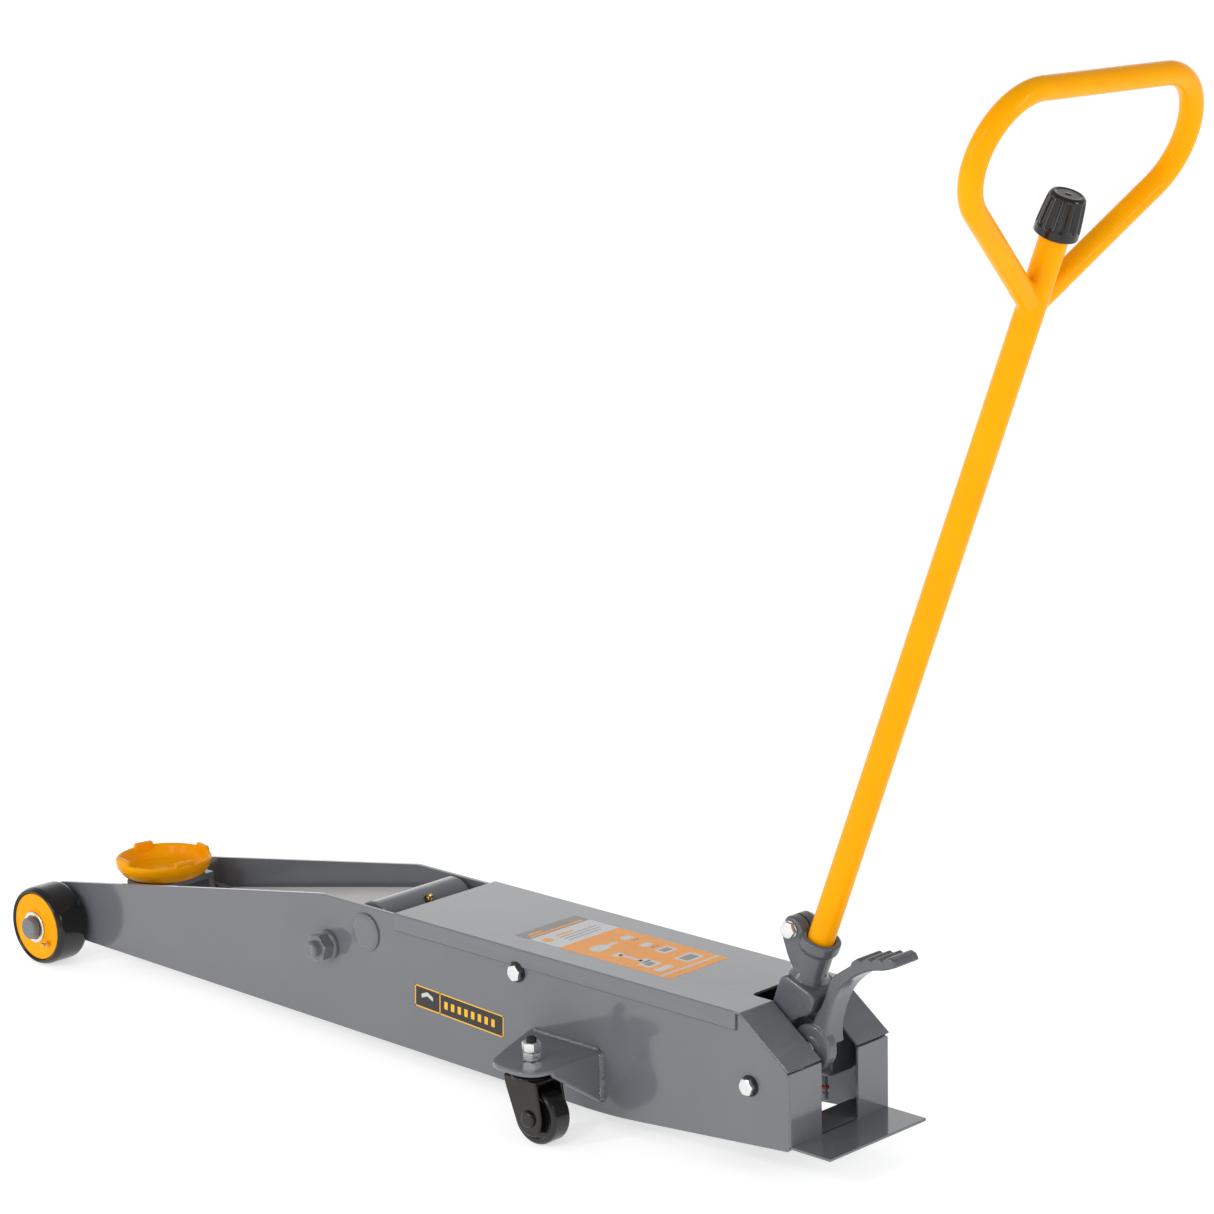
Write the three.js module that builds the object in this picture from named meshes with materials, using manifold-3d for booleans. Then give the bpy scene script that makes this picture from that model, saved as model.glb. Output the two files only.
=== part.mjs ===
// A long-chassis hydraulic car jack, in millimetres, +Z up.
// Built with x = 0 at the front axle and +X towards the handle, then moved so that
// the origin lies under the middle of the whole jack, on the ground.
import * as THREE from 'three';
import { mergeVertices } from 'three/addons/utils/BufferGeometryUtils.js';
import Module from 'manifold-3d';

const wasm = await Module();
wasm.setup();

// ---------------------------------------------------------------- driving dimensions
const GAP = 0.3; // clearance between touching pieces
const BODY_HALF = 80; // outer faces of the side plates
const PLATE = 6; // side plate thickness
const INNER_HALF = BODY_HALF - PLATE;
const SHEET = 2.5; // cover thickness
const DECK_Z = 180.5; // level top edge of the side plates
const COVER_FRONT_X = 621;
const SLOPE_X = 1157; // where the cover turns down towards the rear
const REAR_X = 1223; // upright rear edge of the side plates
const REAR_TOP_Z = 130;
const SLOT_HALF = 30; // half width of the handle slot
const SLOT_FRONT_X = 1127;

const WHEEL_R = 50;
const WHEEL_IN = 86;
const WHEEL_OUT = 133;
const AXLE_R = 12;

const PIVOT = { x: 569, z: 149 }; // lift arm pivot
const STUD = { x: 502, z: 120 }; // levelling rod anchor
const STUD_R = 10;
const ARM_END = { x: 132, z: 70 }; // cradle pivot at the arm's front end
const CRADLE_PIN = { x: ARM_END.x + STUD.x - PIVOT.x, z: ARM_END.z + STUD.z - PIVOT.z };
const PIVOT_R = 18;
const TUBE_R = 33.5; // pivot tube of the lift arm
const WEB_IN = 54; // lift arm webs
const WEB_OUT = 62;

const RAM_LEVER = 80; // pivot to ram pin
const RAM_PIN = {
  x: PIVOT.x + RAM_LEVER * Math.sin(Math.PI / 6),
  z: PIVOT.z - RAM_LEVER * Math.cos(Math.PI / 6),
};
const RAM_Z = 75;
const ROD_R = 18;

const SADDLE = { x: 100, rim: 61, base: 109, top: 133, lug: 138 };
const CASTER = { x: 911, y: 150, trail: 14, r: 32, half: 14.5, plateTop: 92, plate: 6 };

const HANDLE_TILT = THREE.MathUtils.degToRad(21.4);
const SOCKET = { x: 1151.8, z: 128 }; // handle socket pivot
const TUBE_OUT = 14.75;
const TUBE_IN = 11.5;
const COLLAR_TOP = 137.5; // distances along the handle, from the socket pivot
const TUBE_TOP = 962;
const KNOB_TOP = 1007;
const GRIP = { start: 887, top: 1124, bend: 69, centre: 97, r: 12.7 };
const PEDAL_HUB = { x: 1204, z: 139, r: 26 };

const PAINT_GREY = 0x6f7378;
const PAINT_ORANGE = 0xffa800;
const BLACK = 0x121212;
const ZINC = 0xd9dbd8;
const STEEL = 0x8d9196;
const BRASS = 0xc79a3a;

// ---------------------------------------------------------------- shape helpers
function signedVolume(position, index) {
  const [a, b, c] = [new THREE.Vector3(), new THREE.Vector3(), new THREE.Vector3()];
  let sum = 0;
  for (let i = 0; i < index.length; i += 3) {
    a.fromBufferAttribute(position, index[i]);
    b.fromBufferAttribute(position, index[i + 1]);
    c.fromBufferAttribute(position, index[i + 2]);
    sum += a.dot(b.cross(c));
  }
  return sum / 6;
}

// The same shape with shared corners, no collapsed triangles and its faces turned outward.
function closed(geometry) {
  const bare = geometry.clone();
  bare.deleteAttribute('normal');
  bare.deleteAttribute('uv');
  const merged = mergeVertices(bare, 1e-4);
  const all = Array.from(merged.index.array);
  const index = [];
  for (let i = 0; i < all.length; i += 3) {
    const [a, b, c] = all.slice(i, i + 3);
    if (a !== b && b !== c && c !== a) index.push(a, b, c);
  }
  if (signedVolume(merged.attributes.position, index) < 0) index.reverse();
  merged.setIndex(index);
  return merged;
}

function solid(geometry) {
  const mesh = closed(geometry);
  return new wasm.Manifold(new wasm.Mesh({
    numProp: 3,
    vertProperties: new Float32Array(mesh.attributes.position.array),
    triVerts: new Uint32Array(mesh.index.array),
  }));
}

function fromSolid(body) {
  const mesh = body.getMesh();
  const geometry = new THREE.BufferGeometry();
  geometry.setAttribute('position', new THREE.BufferAttribute(mesh.vertProperties, 3));
  geometry.setIndex(new THREE.BufferAttribute(mesh.triVerts, 1));
  return geometry;
}

function join(first, ...others) {
  return fromSolid(others.reduce((sum, item) => sum.add(solid(item)), solid(first)));
}

function cut(first, ...others) {
  return fromSolid(others.reduce((rest, item) => rest.subtract(solid(item)), solid(first)));
}

function box(x0, x1, y0, y1, z0, z1) {
  return new THREE.BoxGeometry(x1 - x0, y1 - y0, z1 - z0)
    .translate((x0 + x1) / 2, (y0 + y1) / 2, (z0 + z1) / 2);
}

// A cylinder along Y, centred on (at.x, at.z).
function barY(at, radius, y0, y1, sides = 16) {
  return new THREE.CylinderGeometry(radius, radius, y1 - y0, sides)
    .translate(at.x, (y0 + y1) / 2, at.z);
}

function barX(y, z, radius, x0, x1, sides = 16) {
  return new THREE.CylinderGeometry(radius, radius, x1 - x0, sides)
    .rotateZ(Math.PI / 2).translate((x0 + x1) / 2, y, z);
}

function barZ(x, y, radius, z0, z1, sides = 16) {
  return new THREE.CylinderGeometry(radius, radius, z1 - z0, sides)
    .rotateX(Math.PI / 2).translate(x, y, (z0 + z1) / 2);
}

// An outline with rounded corners from [x, y, corner radius] points. A rounding takes
// at most a little under half of the sides it lies between.
function outline(points) {
  const shape = new THREE.Shape();
  const corners = points.map(([x, y, radius = 0]) => ({ at: new THREE.Vector2(x, y), radius }));
  corners.forEach(({ at, radius }, i) => {
    const before = corners[(i + corners.length - 1) % corners.length].at;
    const after = corners[(i + 1) % corners.length].at;
    const reach = Math.min(radius, 0.45 * at.distanceTo(before), 0.45 * at.distanceTo(after));
    const a = at.clone().add(before.clone().sub(at).setLength(reach));
    const b = at.clone().add(after.clone().sub(at).setLength(reach));
    if (i === 0) shape.moveTo(a.x, a.y);
    else shape.lineTo(a.x, a.y);
    if (radius > 0) shape.quadraticCurveTo(at.x, at.y, b.x, b.y);
  });
  return shape;
}

function extrude(points, depth, curveSegments = 2) {
  return new THREE.ExtrudeGeometry(outline(points), { depth, bevelEnabled: false, curveSegments });
}

// A plate with an XZ outline, from y0 to y1.
function plateY(points, y0, y1) {
  return extrude(points, y1 - y0).rotateX(Math.PI / 2).translate(0, y1, 0);
}

function plateZ(points, z0, z1) {
  return extrude(points, z1 - z0).translate(0, 0, z0);
}

// A plate with a YZ outline, from x0 to x1.
function plateX(points, x0, x1) {
  const axes = new THREE.Matrix4().set(0, 0, 1, x0, 1, 0, 0, 0, 0, 1, 0, 0, 0, 0, 0, 1);
  return extrude(points, x1 - x0).applyMatrix4(axes);
}

// A turned piece from [radius, height] points, its axis along Y or Z.
function turnY(points, sides = 24) {
  return new THREE.LatheGeometry(points.map(([r, h]) => new THREE.Vector2(r, h)), sides);
}

function turnZ(points, sides = 24) {
  return turnY(points, sides).rotateX(Math.PI / 2);
}

function mirrorY(geometry) {
  return closed(geometry.clone().scale(1, -1, 1));
}

// ---------------------------------------------------------------- scene helpers
const jack = new THREE.Group();

function look(color, metalness, roughness) {
  return { color, metalness, roughness };
}

const GREY_PAINT = look(PAINT_GREY, 0.2, 0.3);
const ORANGE_PAINT = look(PAINT_ORANGE, 0.1, 0.3);
const BLACK_PLASTIC = look(BLACK, 0.0, 0.3);
const ZINC_PLATE = look(ZINC, 0.9, 0.3);
const PLAIN_STEEL = look(STEEL, 0.9, 0.35);
const BRASS_FITTING = look(BRASS, 0.9, 0.3);

function add(name, geometry, finish, parent = jack) {
  const mesh = new THREE.Mesh(closed(geometry), new THREE.MeshStandardMaterial(finish));
  mesh.name = name;
  parent.add(mesh);
  return mesh;
}

// The same piece on the left (-Y) and the right (+Y), built once for the left.
function addPair(name, left, finish) {
  add(`${name}_left`, left, finish);
  add(`${name}_right`, mirrorY(left), finish);
}

// A hexagon across flats, along Y from y0 to y1.
function hexY(at, flats, y0, y1) {
  return barY(at, flats / Math.sqrt(3), y0, y1, 6);
}

function hexZ(x, y, flats, z0, z1) {
  return barZ(x, y, flats / Math.sqrt(3), z0, z1, 6);
}

// ---------------------------------------------------------------- chassis
const FRONT_SCREW = { x: 821, z: 155 };
const REAR_SCREW = { x: 1169, z: 104 };
const SCREW_R = 5;

function sidePlate() {
  const blank = plateY([
    [-36, 26, 30], [960, 18, 40], [REAR_X, 42, 4], [REAR_X, REAR_TOP_Z, 5],
    [SLOPE_X, DECK_Z, 8], [492, DECK_Z, 30], [-36, 91, 32],
  ], -BODY_HALF, -INNER_HALF);
  const hole = (at, r, sides) => barY(at, r + GAP, -BODY_HALF - 5, -INNER_HALF + 5, sides);
  return cut(
    blank,
    hole({ x: 0, z: WHEEL_R }, AXLE_R),
    hole(PIVOT, PIVOT_R, 24),
    hole(STUD, STUD_R),
    hole(FRONT_SCREW, SCREW_R),
    hole(REAR_SCREW, SCREW_R),
  );
}

function topCover() {
  const half = BODY_HALF + GAP + SHEET;
  const under = DECK_Z + GAP;
  const top = box(COVER_FRONT_X, SLOPE_X, -half, half, under, under + SHEET);
  const flange = plateY([
    [COVER_FRONT_X, 163], [SLOPE_X - 6, 163], [SLOPE_X - 6, under + 1], [COVER_FRONT_X, under + 1],
  ], -half, -half + SHEET);
  const slope = plateY([
    [SLOPE_X - 4, under], [SLOPE_X + 1, under], [REAR_X + 1, REAR_TOP_Z + 1],
    [REAR_X + 3, REAR_TOP_Z + 3], [SLOPE_X + 1, under + SHEET], [SLOPE_X - 4, under + SHEET],
  ], -half, half);
  const whole = join(top, flange, mirrorY(flange), slope);
  const notch = barY(FRONT_SCREW, 13, -half - 5, -half + 5);
  const slot = plateZ([
    [SLOT_FRONT_X, -SLOT_HALF, 8], [REAR_X + 20, -SLOT_HALF],
    [REAR_X + 20, SLOT_HALF], [SLOT_FRONT_X, SLOT_HALF, 8],
  ], 100, 200);
  return cut(whole, notch, mirrorY(notch), slot);
}

const TAIL_Z = 46;

function rearPlate() {
  const x0 = REAR_X + GAP;
  const upright = box(x0, x0 + 3, -BODY_HALF, BODY_HALF, TAIL_Z, REAR_TOP_Z);
  const tail = plateZ([
    [x0, -BODY_HALF], [1280, -BODY_HALF, 3], [1280, BODY_HALF, 3], [x0, BODY_HALF],
  ], TAIL_Z, TAIL_Z + 3);
  const tongue = box(1180, x0 + 1, -INNER_HALF + 1, INNER_HALF - 1, TAIL_Z, TAIL_Z + 3);
  const slot = box(x0 - 5, x0 + 10, -SLOT_HALF, SLOT_HALF, TAIL_Z + 3, REAR_TOP_Z + 10);
  return join(cut(upright, slot), tail, tongue);
}

function crossBar() {
  const bar = barY(FRONT_SCREW, 10, -INNER_HALF + GAP, INNER_HALF - GAP, 16);
  const bore = barY(FRONT_SCREW, SCREW_R + GAP, -INNER_HALF, -INNER_HALF + 22, 16);
  return cut(bar, bore, mirrorY(bore));
}

function screw(at) {
  const out = -BODY_HALF - GAP;
  return join(
    barY(at, SCREW_R, out - 2, out + 24, 12),
    barY(at, 10, out - 1.8, out),
    hexY(at, 17, out - 8, out - 1.5),
  );
}

function liftPivotShaft() {
  const end = BODY_HALF + GAP;
  return turnY([
    [0, -end - 3], [22, -end - 3], [23, -end - 2], [23, -end], [PIVOT_R, -end],
    [PIVOT_R, end], [23, end], [23, end + 2], [22, end + 3], [0, end + 3],
  ]).translate(PIVOT.x, 0, PIVOT.z);
}

function tieStud() {
  return turnY([
    [0, -111], [8, -111], [STUD_R, -109], [STUD_R, 109], [8, 111], [0, 111],
  ], 16).translate(STUD.x, 0, STUD.z);
}

function tieNut() {
  const out = -BODY_HALF - GAP;
  const body = join(hexY(STUD, 30, out - 21, out - 5), barY(STUD, 18, out - 6, out));
  return cut(body, barY(STUD, STUD_R + GAP, -120, -70));
}

function addChassis() {
  addPair('side_plate', sidePlate(), GREY_PAINT);
  add('top_cover', topCover(), GREY_PAINT);
  add('rear_plate', rearPlate(), GREY_PAINT);
  add('cross_bar', crossBar(), PLAIN_STEEL);
  addPair('front_screw', screw(FRONT_SCREW), ZINC_PLATE);
  addPair('rear_screw', screw(REAR_SCREW), ZINC_PLATE);
  add('lift_pivot_shaft', liftPivotShaft(), GREY_PAINT);
  add('tie_stud', tieStud(), GREY_PAINT);
  addPair('tie_nut', tieNut(), GREY_PAINT);
}

// ---------------------------------------------------------------- front wheels
const AXLE_AT = { x: 0, z: WHEEL_R };

function frontAxle() {
  return turnY([
    [0, -145], [12, -145], [14, -143], [14, -137], [AXLE_R, -137],
    [AXLE_R, 137], [14, 137], [14, 143], [12, 145], [0, 145],
  ], 16).translate(0, 0, WHEEL_R);
}

function axleSpacer() {
  const tube = barY(AXLE_AT, 17, -INNER_HALF + GAP, INNER_HALF - GAP);
  return cut(tube, barY(AXLE_AT, AXLE_R + GAP, -90, 90));
}

function frontWheel() {
  const bore = AXLE_R + GAP;
  return turnY([
    [bore, -WHEEL_IN], [bore, -WHEEL_OUT + 4], [43, -WHEEL_OUT + 4], [45, -WHEEL_OUT + 1.5],
    [46, -WHEEL_OUT], [48, -WHEEL_OUT + 1.5], [WHEEL_R, -WHEEL_OUT + 6], [WHEEL_R, -WHEEL_IN - 6],
    [48, -WHEEL_IN - 1.5], [45, -WHEEL_IN], [bore, -WHEEL_IN],
  ], 28).translate(0, 0, WHEEL_R);
}

function wheelDisc() {
  const inner = -WHEEL_OUT + 4 - GAP;
  return turnY([
    [AXLE_R + GAP, inner], [AXLE_R + GAP, inner - 4.5], [22, inner - 4.5], [38, inner - 3],
    [42.5, inner - 2], [42.5, inner], [AXLE_R + GAP, inner],
  ], 28).translate(0, 0, WHEEL_R);
}

function wheelWasher() {
  const inner = -WHEEL_OUT + 4 - 2 * GAP - 4.5;
  return turnY([
    [AXLE_R + GAP, inner], [20, inner], [20, inner - 2.5], [AXLE_R + GAP, inner - 2.5],
    [AXLE_R + GAP, inner],
  ], 16).translate(0, 0, WHEEL_R);
}

function nipple() {
  return turnZ([[0, 0], [4, 0], [4, 3], [2.2, 4], [3, 7], [1.2, 10], [0, 10]], 8);
}

function wheelNipple() {
  const angle = THREE.MathUtils.degToRad(-35);
  return nipple().rotateX(Math.PI / 2)
    .translate(30 * Math.cos(angle), -WHEEL_OUT - 0.5, WHEEL_R + 30 * Math.sin(angle));
}

function addFrontWheels() {
  add('front_axle', frontAxle(), PLAIN_STEEL);
  add('axle_spacer', axleSpacer(), GREY_PAINT);
  addPair('front_wheel', frontWheel(), BLACK_PLASTIC);
  addPair('wheel_disc', wheelDisc(), ORANGE_PAINT);
  addPair('wheel_washer', wheelWasher(), GREY_PAINT);
  addPair('wheel_nipple', wheelNipple(), BRASS_FITTING);
}

// ---------------------------------------------------------------- lift arm and saddle
const ARM_PIN_R = 8;
const LEVEL_PIN_R = 7;
const RAM_PIN_R = 10;

function armTopZ(x) {
  return 115.3 + 0.2 * (x - 292);
}

function armWeb() {
  return plateY([
    [110, 70, 12], [116, 90, 8], [170, armTopZ(170) - 1], [548, armTopZ(548) - 1],
    [PIVOT.x + 20, PIVOT.z], [532, 134, 6], [486, 134, 12], [425, 108, 20], [140, 49, 12],
  ], -WEB_OUT, -WEB_IN);
}

function ramLug() {
  return plateY([
    [PIVOT.x - 26, PIVOT.z + 4], [RAM_PIN.x - 17, RAM_PIN.z + 6, 10],
    [RAM_PIN.x - 13, RAM_PIN.z - 18, 12], [RAM_PIN.x + 18, RAM_PIN.z - 18, 14],
    [RAM_PIN.x + 20, RAM_PIN.z + 10, 10], [PIVOT.x + 28, PIVOT.z + 4],
  ], -30, -20);
}

function liftArm() {
  const deck = plateY([
    [160, armTopZ(160)], [552, armTopZ(552)], [552, armTopZ(552) - 7], [160, armTopZ(160) - 7],
  ], -WEB_OUT, WEB_OUT);
  const web = armWeb();
  const lug = ramLug();
  const tube = barY(PIVOT, TUBE_R, -66, 66, 32);
  const whole = join(deck, web, mirrorY(web), lug, mirrorY(lug), tube);
  return cut(
    whole,
    barY(PIVOT, PIVOT_R + 0.4, -90, 90, 24),
    barY(ARM_END, ARM_PIN_R + GAP, -90, 90),
    barY(RAM_PIN, RAM_PIN_R + GAP, -90, 90),
  );
}

function armNipple() {
  const angle = THREE.MathUtils.degToRad(48);
  const reach = TUBE_R + GAP + 0.1;
  return nipple().rotateY(Math.PI / 2 - angle)
    .translate(PIVOT.x + reach * Math.cos(angle), 0, PIVOT.z + reach * Math.sin(angle));
}

function saddleCradle() {
  const { x, base } = SADDLE;
  const half = 49;
  const head = plateZ([
    [x - 40, -24, 2], [x - 15, -half, 2], [x + 40, -half, 2],
    [x + 40, half, 2], [x - 15, half, 2], [x - 40, 24, 2],
  ], base - 8, base - GAP);
  const cheek = plateY([
    [x - 14, base - 7], [CRADLE_PIN.x - 15, CRADLE_PIN.z + 2, 8],
    [CRADLE_PIN.x - 2, CRADLE_PIN.z - 15, 9], [ARM_END.x + 4, ARM_END.z - 17, 9],
    [ARM_END.x + 17, ARM_END.z + 2, 9], [x + 38, base - 7],
  ], -48, -40);
  return cut(
    join(head, cheek, mirrorY(cheek)),
    barY(ARM_END, ARM_PIN_R + GAP, -60, 60),
    barY(CRADLE_PIN, LEVEL_PIN_R + GAP, -60, 60),
    barZ(x, 0, 15.5, 90, 120),
  );
}

function saddle() {
  const { x, rim, base, top, lug } = SADDLE;
  const dish = turnZ([
    [0, base - 14], [15, base - 14], [15, base], [46, base], [54, base + 4], [59, base + 12],
    [rim, base + 19], [rim - 0.5, top - 1], [rim - 3, top], [rim - 6, top - 2],
    [46, base + 7], [0, base + 7],
  ], 28);
  const block = plateX([[-15, top - 12], [15, top - 12], [12, lug, 2], [-12, lug, 2]], 47, 58);
  const lugs = [0, 1, 2, 3].map((i) => (
    block.clone().rotateZ(THREE.MathUtils.degToRad(-12 + 90 * i))
  ));
  return join(dish, ...lugs).translate(x, 0, 0);
}

function levellingRod() {
  const length = Math.hypot(STUD.x - CRADLE_PIN.x, STUD.z - CRADLE_PIN.z);
  const rise = Math.atan2(STUD.z - CRADLE_PIN.z, STUD.x - CRADLE_PIN.x);
  const rod = barX(0, 0, 8, 6, length - 8, 16).rotateY(-rise).translate(CRADLE_PIN.x, 0, CRADLE_PIN.z);
  return cut(
    join(rod, barY(STUD, 16, -12, 12), barY(CRADLE_PIN, 13, -12, 12)),
    barY(STUD, STUD_R + 0.4, -20, 20),
    barY(CRADLE_PIN, LEVEL_PIN_R + 0.4, -20, 20),
  );
}

function addLift() {
  add('lift_arm', liftArm(), GREY_PAINT);
  add('arm_nipple', armNipple(), BRASS_FITTING);
  add('arm_end_pin', barY(ARM_END, ARM_PIN_R, -66, 66), PLAIN_STEEL);
  add('ram_pin', barY(RAM_PIN, RAM_PIN_R, -33, 33), PLAIN_STEEL);
  add('saddle_cradle', saddleCradle(), GREY_PAINT);
  add('levelling_pin', barY(CRADLE_PIN, LEVEL_PIN_R, -51, 51), PLAIN_STEEL);
  add('saddle', saddle(), ORANGE_PAINT);
  add('levelling_rod', levellingRod(), PLAIN_STEEL);
}

// ---------------------------------------------------------------- hydraulics
const BLOCK = { front: 940, rear: 1096, half: 62, low: 38, high: 130 };
const EAR_LOW = 84; // underside of the two lugs that hold the handle socket
const PLUNGER = { z: 113, r: 7, head: 12, rear: 1131 };
const SOCKET_PIN_R = 8;

function ramPiston() {
  const yoke = plateY([
    [585, 51, 8], [630, 51, 4], [630, 99, 4], [585, 99, 8],
  ], -18, 18);
  const rod = barX(0, RAM_Z, ROD_R, 625, 900, 24);
  const slot = plateY([
    [RAM_PIN.x - 11.6, 57, 10], [RAM_PIN.x + 11.6, 57, 10],
    [RAM_PIN.x + 11.6, 93, 10], [RAM_PIN.x - 11.6, 93, 10],
  ], -30, 30);
  return cut(join(yoke, rod), slot);
}

function ramCylinder() {
  const bore = ROD_R + GAP;
  const end = BLOCK.front - GAP;
  return turnZ([
    [bore, 0], [36, 0], [38, 2], [38, end - 730], [0, end - 730], [0, 182], [bore, 182], [bore, 0],
  ]).rotateY(Math.PI / 2).translate(730, 0, RAM_Z);
}

function pumpBlock() {
  const { front, rear, half, low, high } = BLOCK;
  const body = plateZ([
    [front, -half, 8], [rear, -half, 2], [rear, half, 2], [front, half, 8],
  ], low, high);
  const ear = plateY([
    [rear - 10, EAR_LOW], [1186, EAR_LOW, 8], [1186, 136, 8], [1160, 150, 8], [rear - 10, 130],
  ], -INNER_HALF + GAP, -32);
  return cut(
    join(body, ear, mirrorY(ear)),
    barY(SOCKET, SOCKET_PIN_R + GAP, -58, 58),
    barY(REAR_SCREW, SCREW_R + GAP, -INNER_HALF, -INNER_HALF + 22, 16),
    barY(REAR_SCREW, SCREW_R + GAP, INNER_HALF - 22, INNER_HALF, 16),
    barX(0, PLUNGER.z, PLUNGER.r + GAP, rear - 50, rear + 10),
  );
}

function pumpPlunger() {
  const { z, r, head, rear } = PLUNGER;
  return join(barX(0, z, r, 1068, rear - 5), barX(0, z, head, rear - 7, rear));
}

function drainPlug() {
  const top = EAR_LOW - GAP;
  return turnZ([
    [0, 51], [3, 51], [3, 65], [4, 65], [4, 68], [3, 68], [3, top], [0, top],
  ], 12).translate(1166, 46, 0);
}

function addHydraulics() {
  add('pump_block', pumpBlock(), GREY_PAINT);
  add('ram_cylinder', ramCylinder(), GREY_PAINT);
  add('ram_piston', ramPiston(), PLAIN_STEEL);
  add('pump_plunger', pumpPlunger(), PLAIN_STEEL);
  add('drain_plug', drainPlug(), look(0xc8321e, 0.0, 0.4));
}

// ---------------------------------------------------------------- rear casters
function casterBracket() {
  const { x, y, plateTop, plate } = CASTER;
  const top = plateTop;
  const inner = -BODY_HALF - GAP;
  const shelf = plateZ([
    [x - 73, inner], [x - 46, -y, 20], [x - 29, -y - 38, 30],
    [x + 40, -y - 38, 38], [x + 40, inner],
  ], top - plate, top);
  const gusset = plateX([
    [inner, 30, 2], [inner, top - 1], [-y - 8, top - 1], [-y - 8, top - 10, 4],
  ], x + 34, x + 40);
  return cut(join(shelf, gusset), barZ(x, -y, 6 + GAP, 50, 120, 16));
}

function casterStem() {
  const { x, y } = CASTER;
  return join(hexZ(x, -y, 19, 65, 70.7), barZ(x, -y, 6, 68, 119));
}

function casterNut(low, high) {
  const { x, y } = CASTER;
  return cut(hexZ(x, -y, 19, low, high), barZ(x, -y, 6 + GAP, low - 5, high + 5, 16));
}

function casterFork() {
  const { x, y, trail, r } = CASTER;
  const hub = { x: x + trail, z: r };
  const leg = plateY([
    [x - 25, 76, 2], [x - 22, 64, 4], [hub.x - 20, 24, 12], [hub.x - 8, 12, 12],
    [hub.x + 12, 12, 14], [hub.x + 19, 30, 10], [x + 26, 72, 4], [x + 25, 76, 2],
  ], -y - 21, -y - 17);
  const twin = leg.clone().translate(0, 38, 0);
  const head = join(
    plateZ([[x - 25, -y - 21, 5], [x + 25, -y - 21, 5], [x + 25, -y + 21, 5], [x - 25, -y + 21, 5]], 71, 76),
    barZ(x, -y, 21, 75, 85.6, 20),
  );
  return cut(
    join(head, leg, twin),
    barZ(x, -y, 6 + 0.4, 50, 120, 16),
    barY(hub, 5 + GAP, -y - 30, -y + 30, 16),
  );
}

function casterAxle() {
  const { x, y, trail, r } = CASTER;
  const hub = { x: x + trail, z: r };
  const out = 21 + GAP;
  return join(
    barY(hub, 5, -y - out - 1, -y + out + 1, 12),
    barY(hub, 10, -y - out - 4, -y - out),
    barY(hub, 9, -y + out, -y + out + 4),
  );
}

function casterWheel() {
  const { x, y, trail, r, half } = CASTER;
  return turnY([
    [5.35, -half], [10, -half], [24, -half + 2], [r - 3, -half + 1], [r, -half + 4],
    [r, half - 4], [r - 3, half - 1], [24, half - 2], [10, half], [5.35, half], [5.35, -half],
  ], 24).translate(x + trail, -y, r);
}

function addCasters() {
  const top = CASTER.plateTop;
  addPair('caster_bracket', casterBracket(), GREY_PAINT);
  addPair('caster_stem', casterStem(), PLAIN_STEEL);
  addPair('caster_nut', casterNut(top + GAP, top + 10), ZINC_PLATE);
  addPair('caster_lock_nut', casterNut(top + 10 + GAP, top + 21), ZINC_PLATE);
  addPair('caster_fork', casterFork(), BLACK_PLASTIC);
  addPair('caster_axle', casterAxle(), BLACK_PLASTIC);
  addPair('caster_wheel', casterWheel(), BLACK_PLASTIC);
}

// ---------------------------------------------------------------- handle
// Built upright with the socket pivot at the origin, then tilted with its group.
const handle = new THREE.Group();
handle.position.set(SOCKET.x, 0, SOCKET.z);
handle.rotation.y = HANDLE_TILT;
jack.add(handle);

const CLAMP = { x: -31, z: 132 };
const BARREL_R = 16.5; // lower end of the socket, round its pivot pin
const HUB_LOCAL = new THREE.Vector2(PEDAL_HUB.x - SOCKET.x, PEDAL_HUB.z - SOCKET.z)
  .rotateAround(new THREE.Vector2(), HANDLE_TILT);

function handleSocket() {
  const origin = { x: 0, z: 0 };
  const hub = { x: HUB_LOCAL.x, z: HUB_LOCAL.y };
  const block = plateY([
    [-18, -4], [-18, 82, 4], [-12, 88, 4], [26, 88, 6], [32, 84, 5], [32, 64, 4], [13, 46, 6], [13, 0],
  ], -26, 26);
  const lobe = plateY([[-10, 2], [10, 2], [8, -32, 7], [-8, -32, 7]], -12, 12);
  const tongue = plateY([
    [4, 50, 2], [4, 20, 2], [hub.x, hub.z - 17, 12], [hub.x + 16, hub.z + 2, 12], [hub.x - 2, hub.z + 17, 8],
  ], -8, 8);
  const ear = plateY([
    [-4, 88], [-22, 98, 8], [-43, 122, 10], [-42, 145, 12], [-22, 146, 10], [-2, 120],
  ], -15, 15);
  const body = join(
    block,
    barY(origin, BARREL_R, -26, 26, 20),
    lobe,
    tongue,
    barZ(0, 0, 18.5, 80, 128, 24),
    turnZ([[0, 124], [20, 124], [22.5, 127], [22.5, COLLAR_TOP - 1.5], [21, COLLAR_TOP], [0, COLLAR_TOP]]),
    ear,
  );
  return cut(
    body,
    barZ(0, 0, TUBE_OUT + 0.5, 58, 160, 24),
    barZ(0, 0, 6, 12, 60, 16),
    barY(origin, SOCKET_PIN_R + 0.4, -40, 40),
    barY(CLAMP, SCREW_R + GAP, -40, 40, 16),
    barY(hub, 6 + GAP, -20, 20),
    box(-60, -10, -1.5, 1.5, 100, 160),
  );
}

function clampBolt() {
  return join(
    barY(CLAMP, SCREW_R, -17, 20, 16),
    hexY(CLAMP, 17, -22, -15 - GAP),
    hexY(CLAMP, 17, 15 + GAP, 23),
  );
}

function handleTube() {
  return turnZ([
    [TUBE_IN, 60], [TUBE_OUT, 60], [TUBE_OUT, TUBE_TOP], [TUBE_IN, TUBE_TOP], [TUBE_IN, 60],
  ], 24);
}

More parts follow.
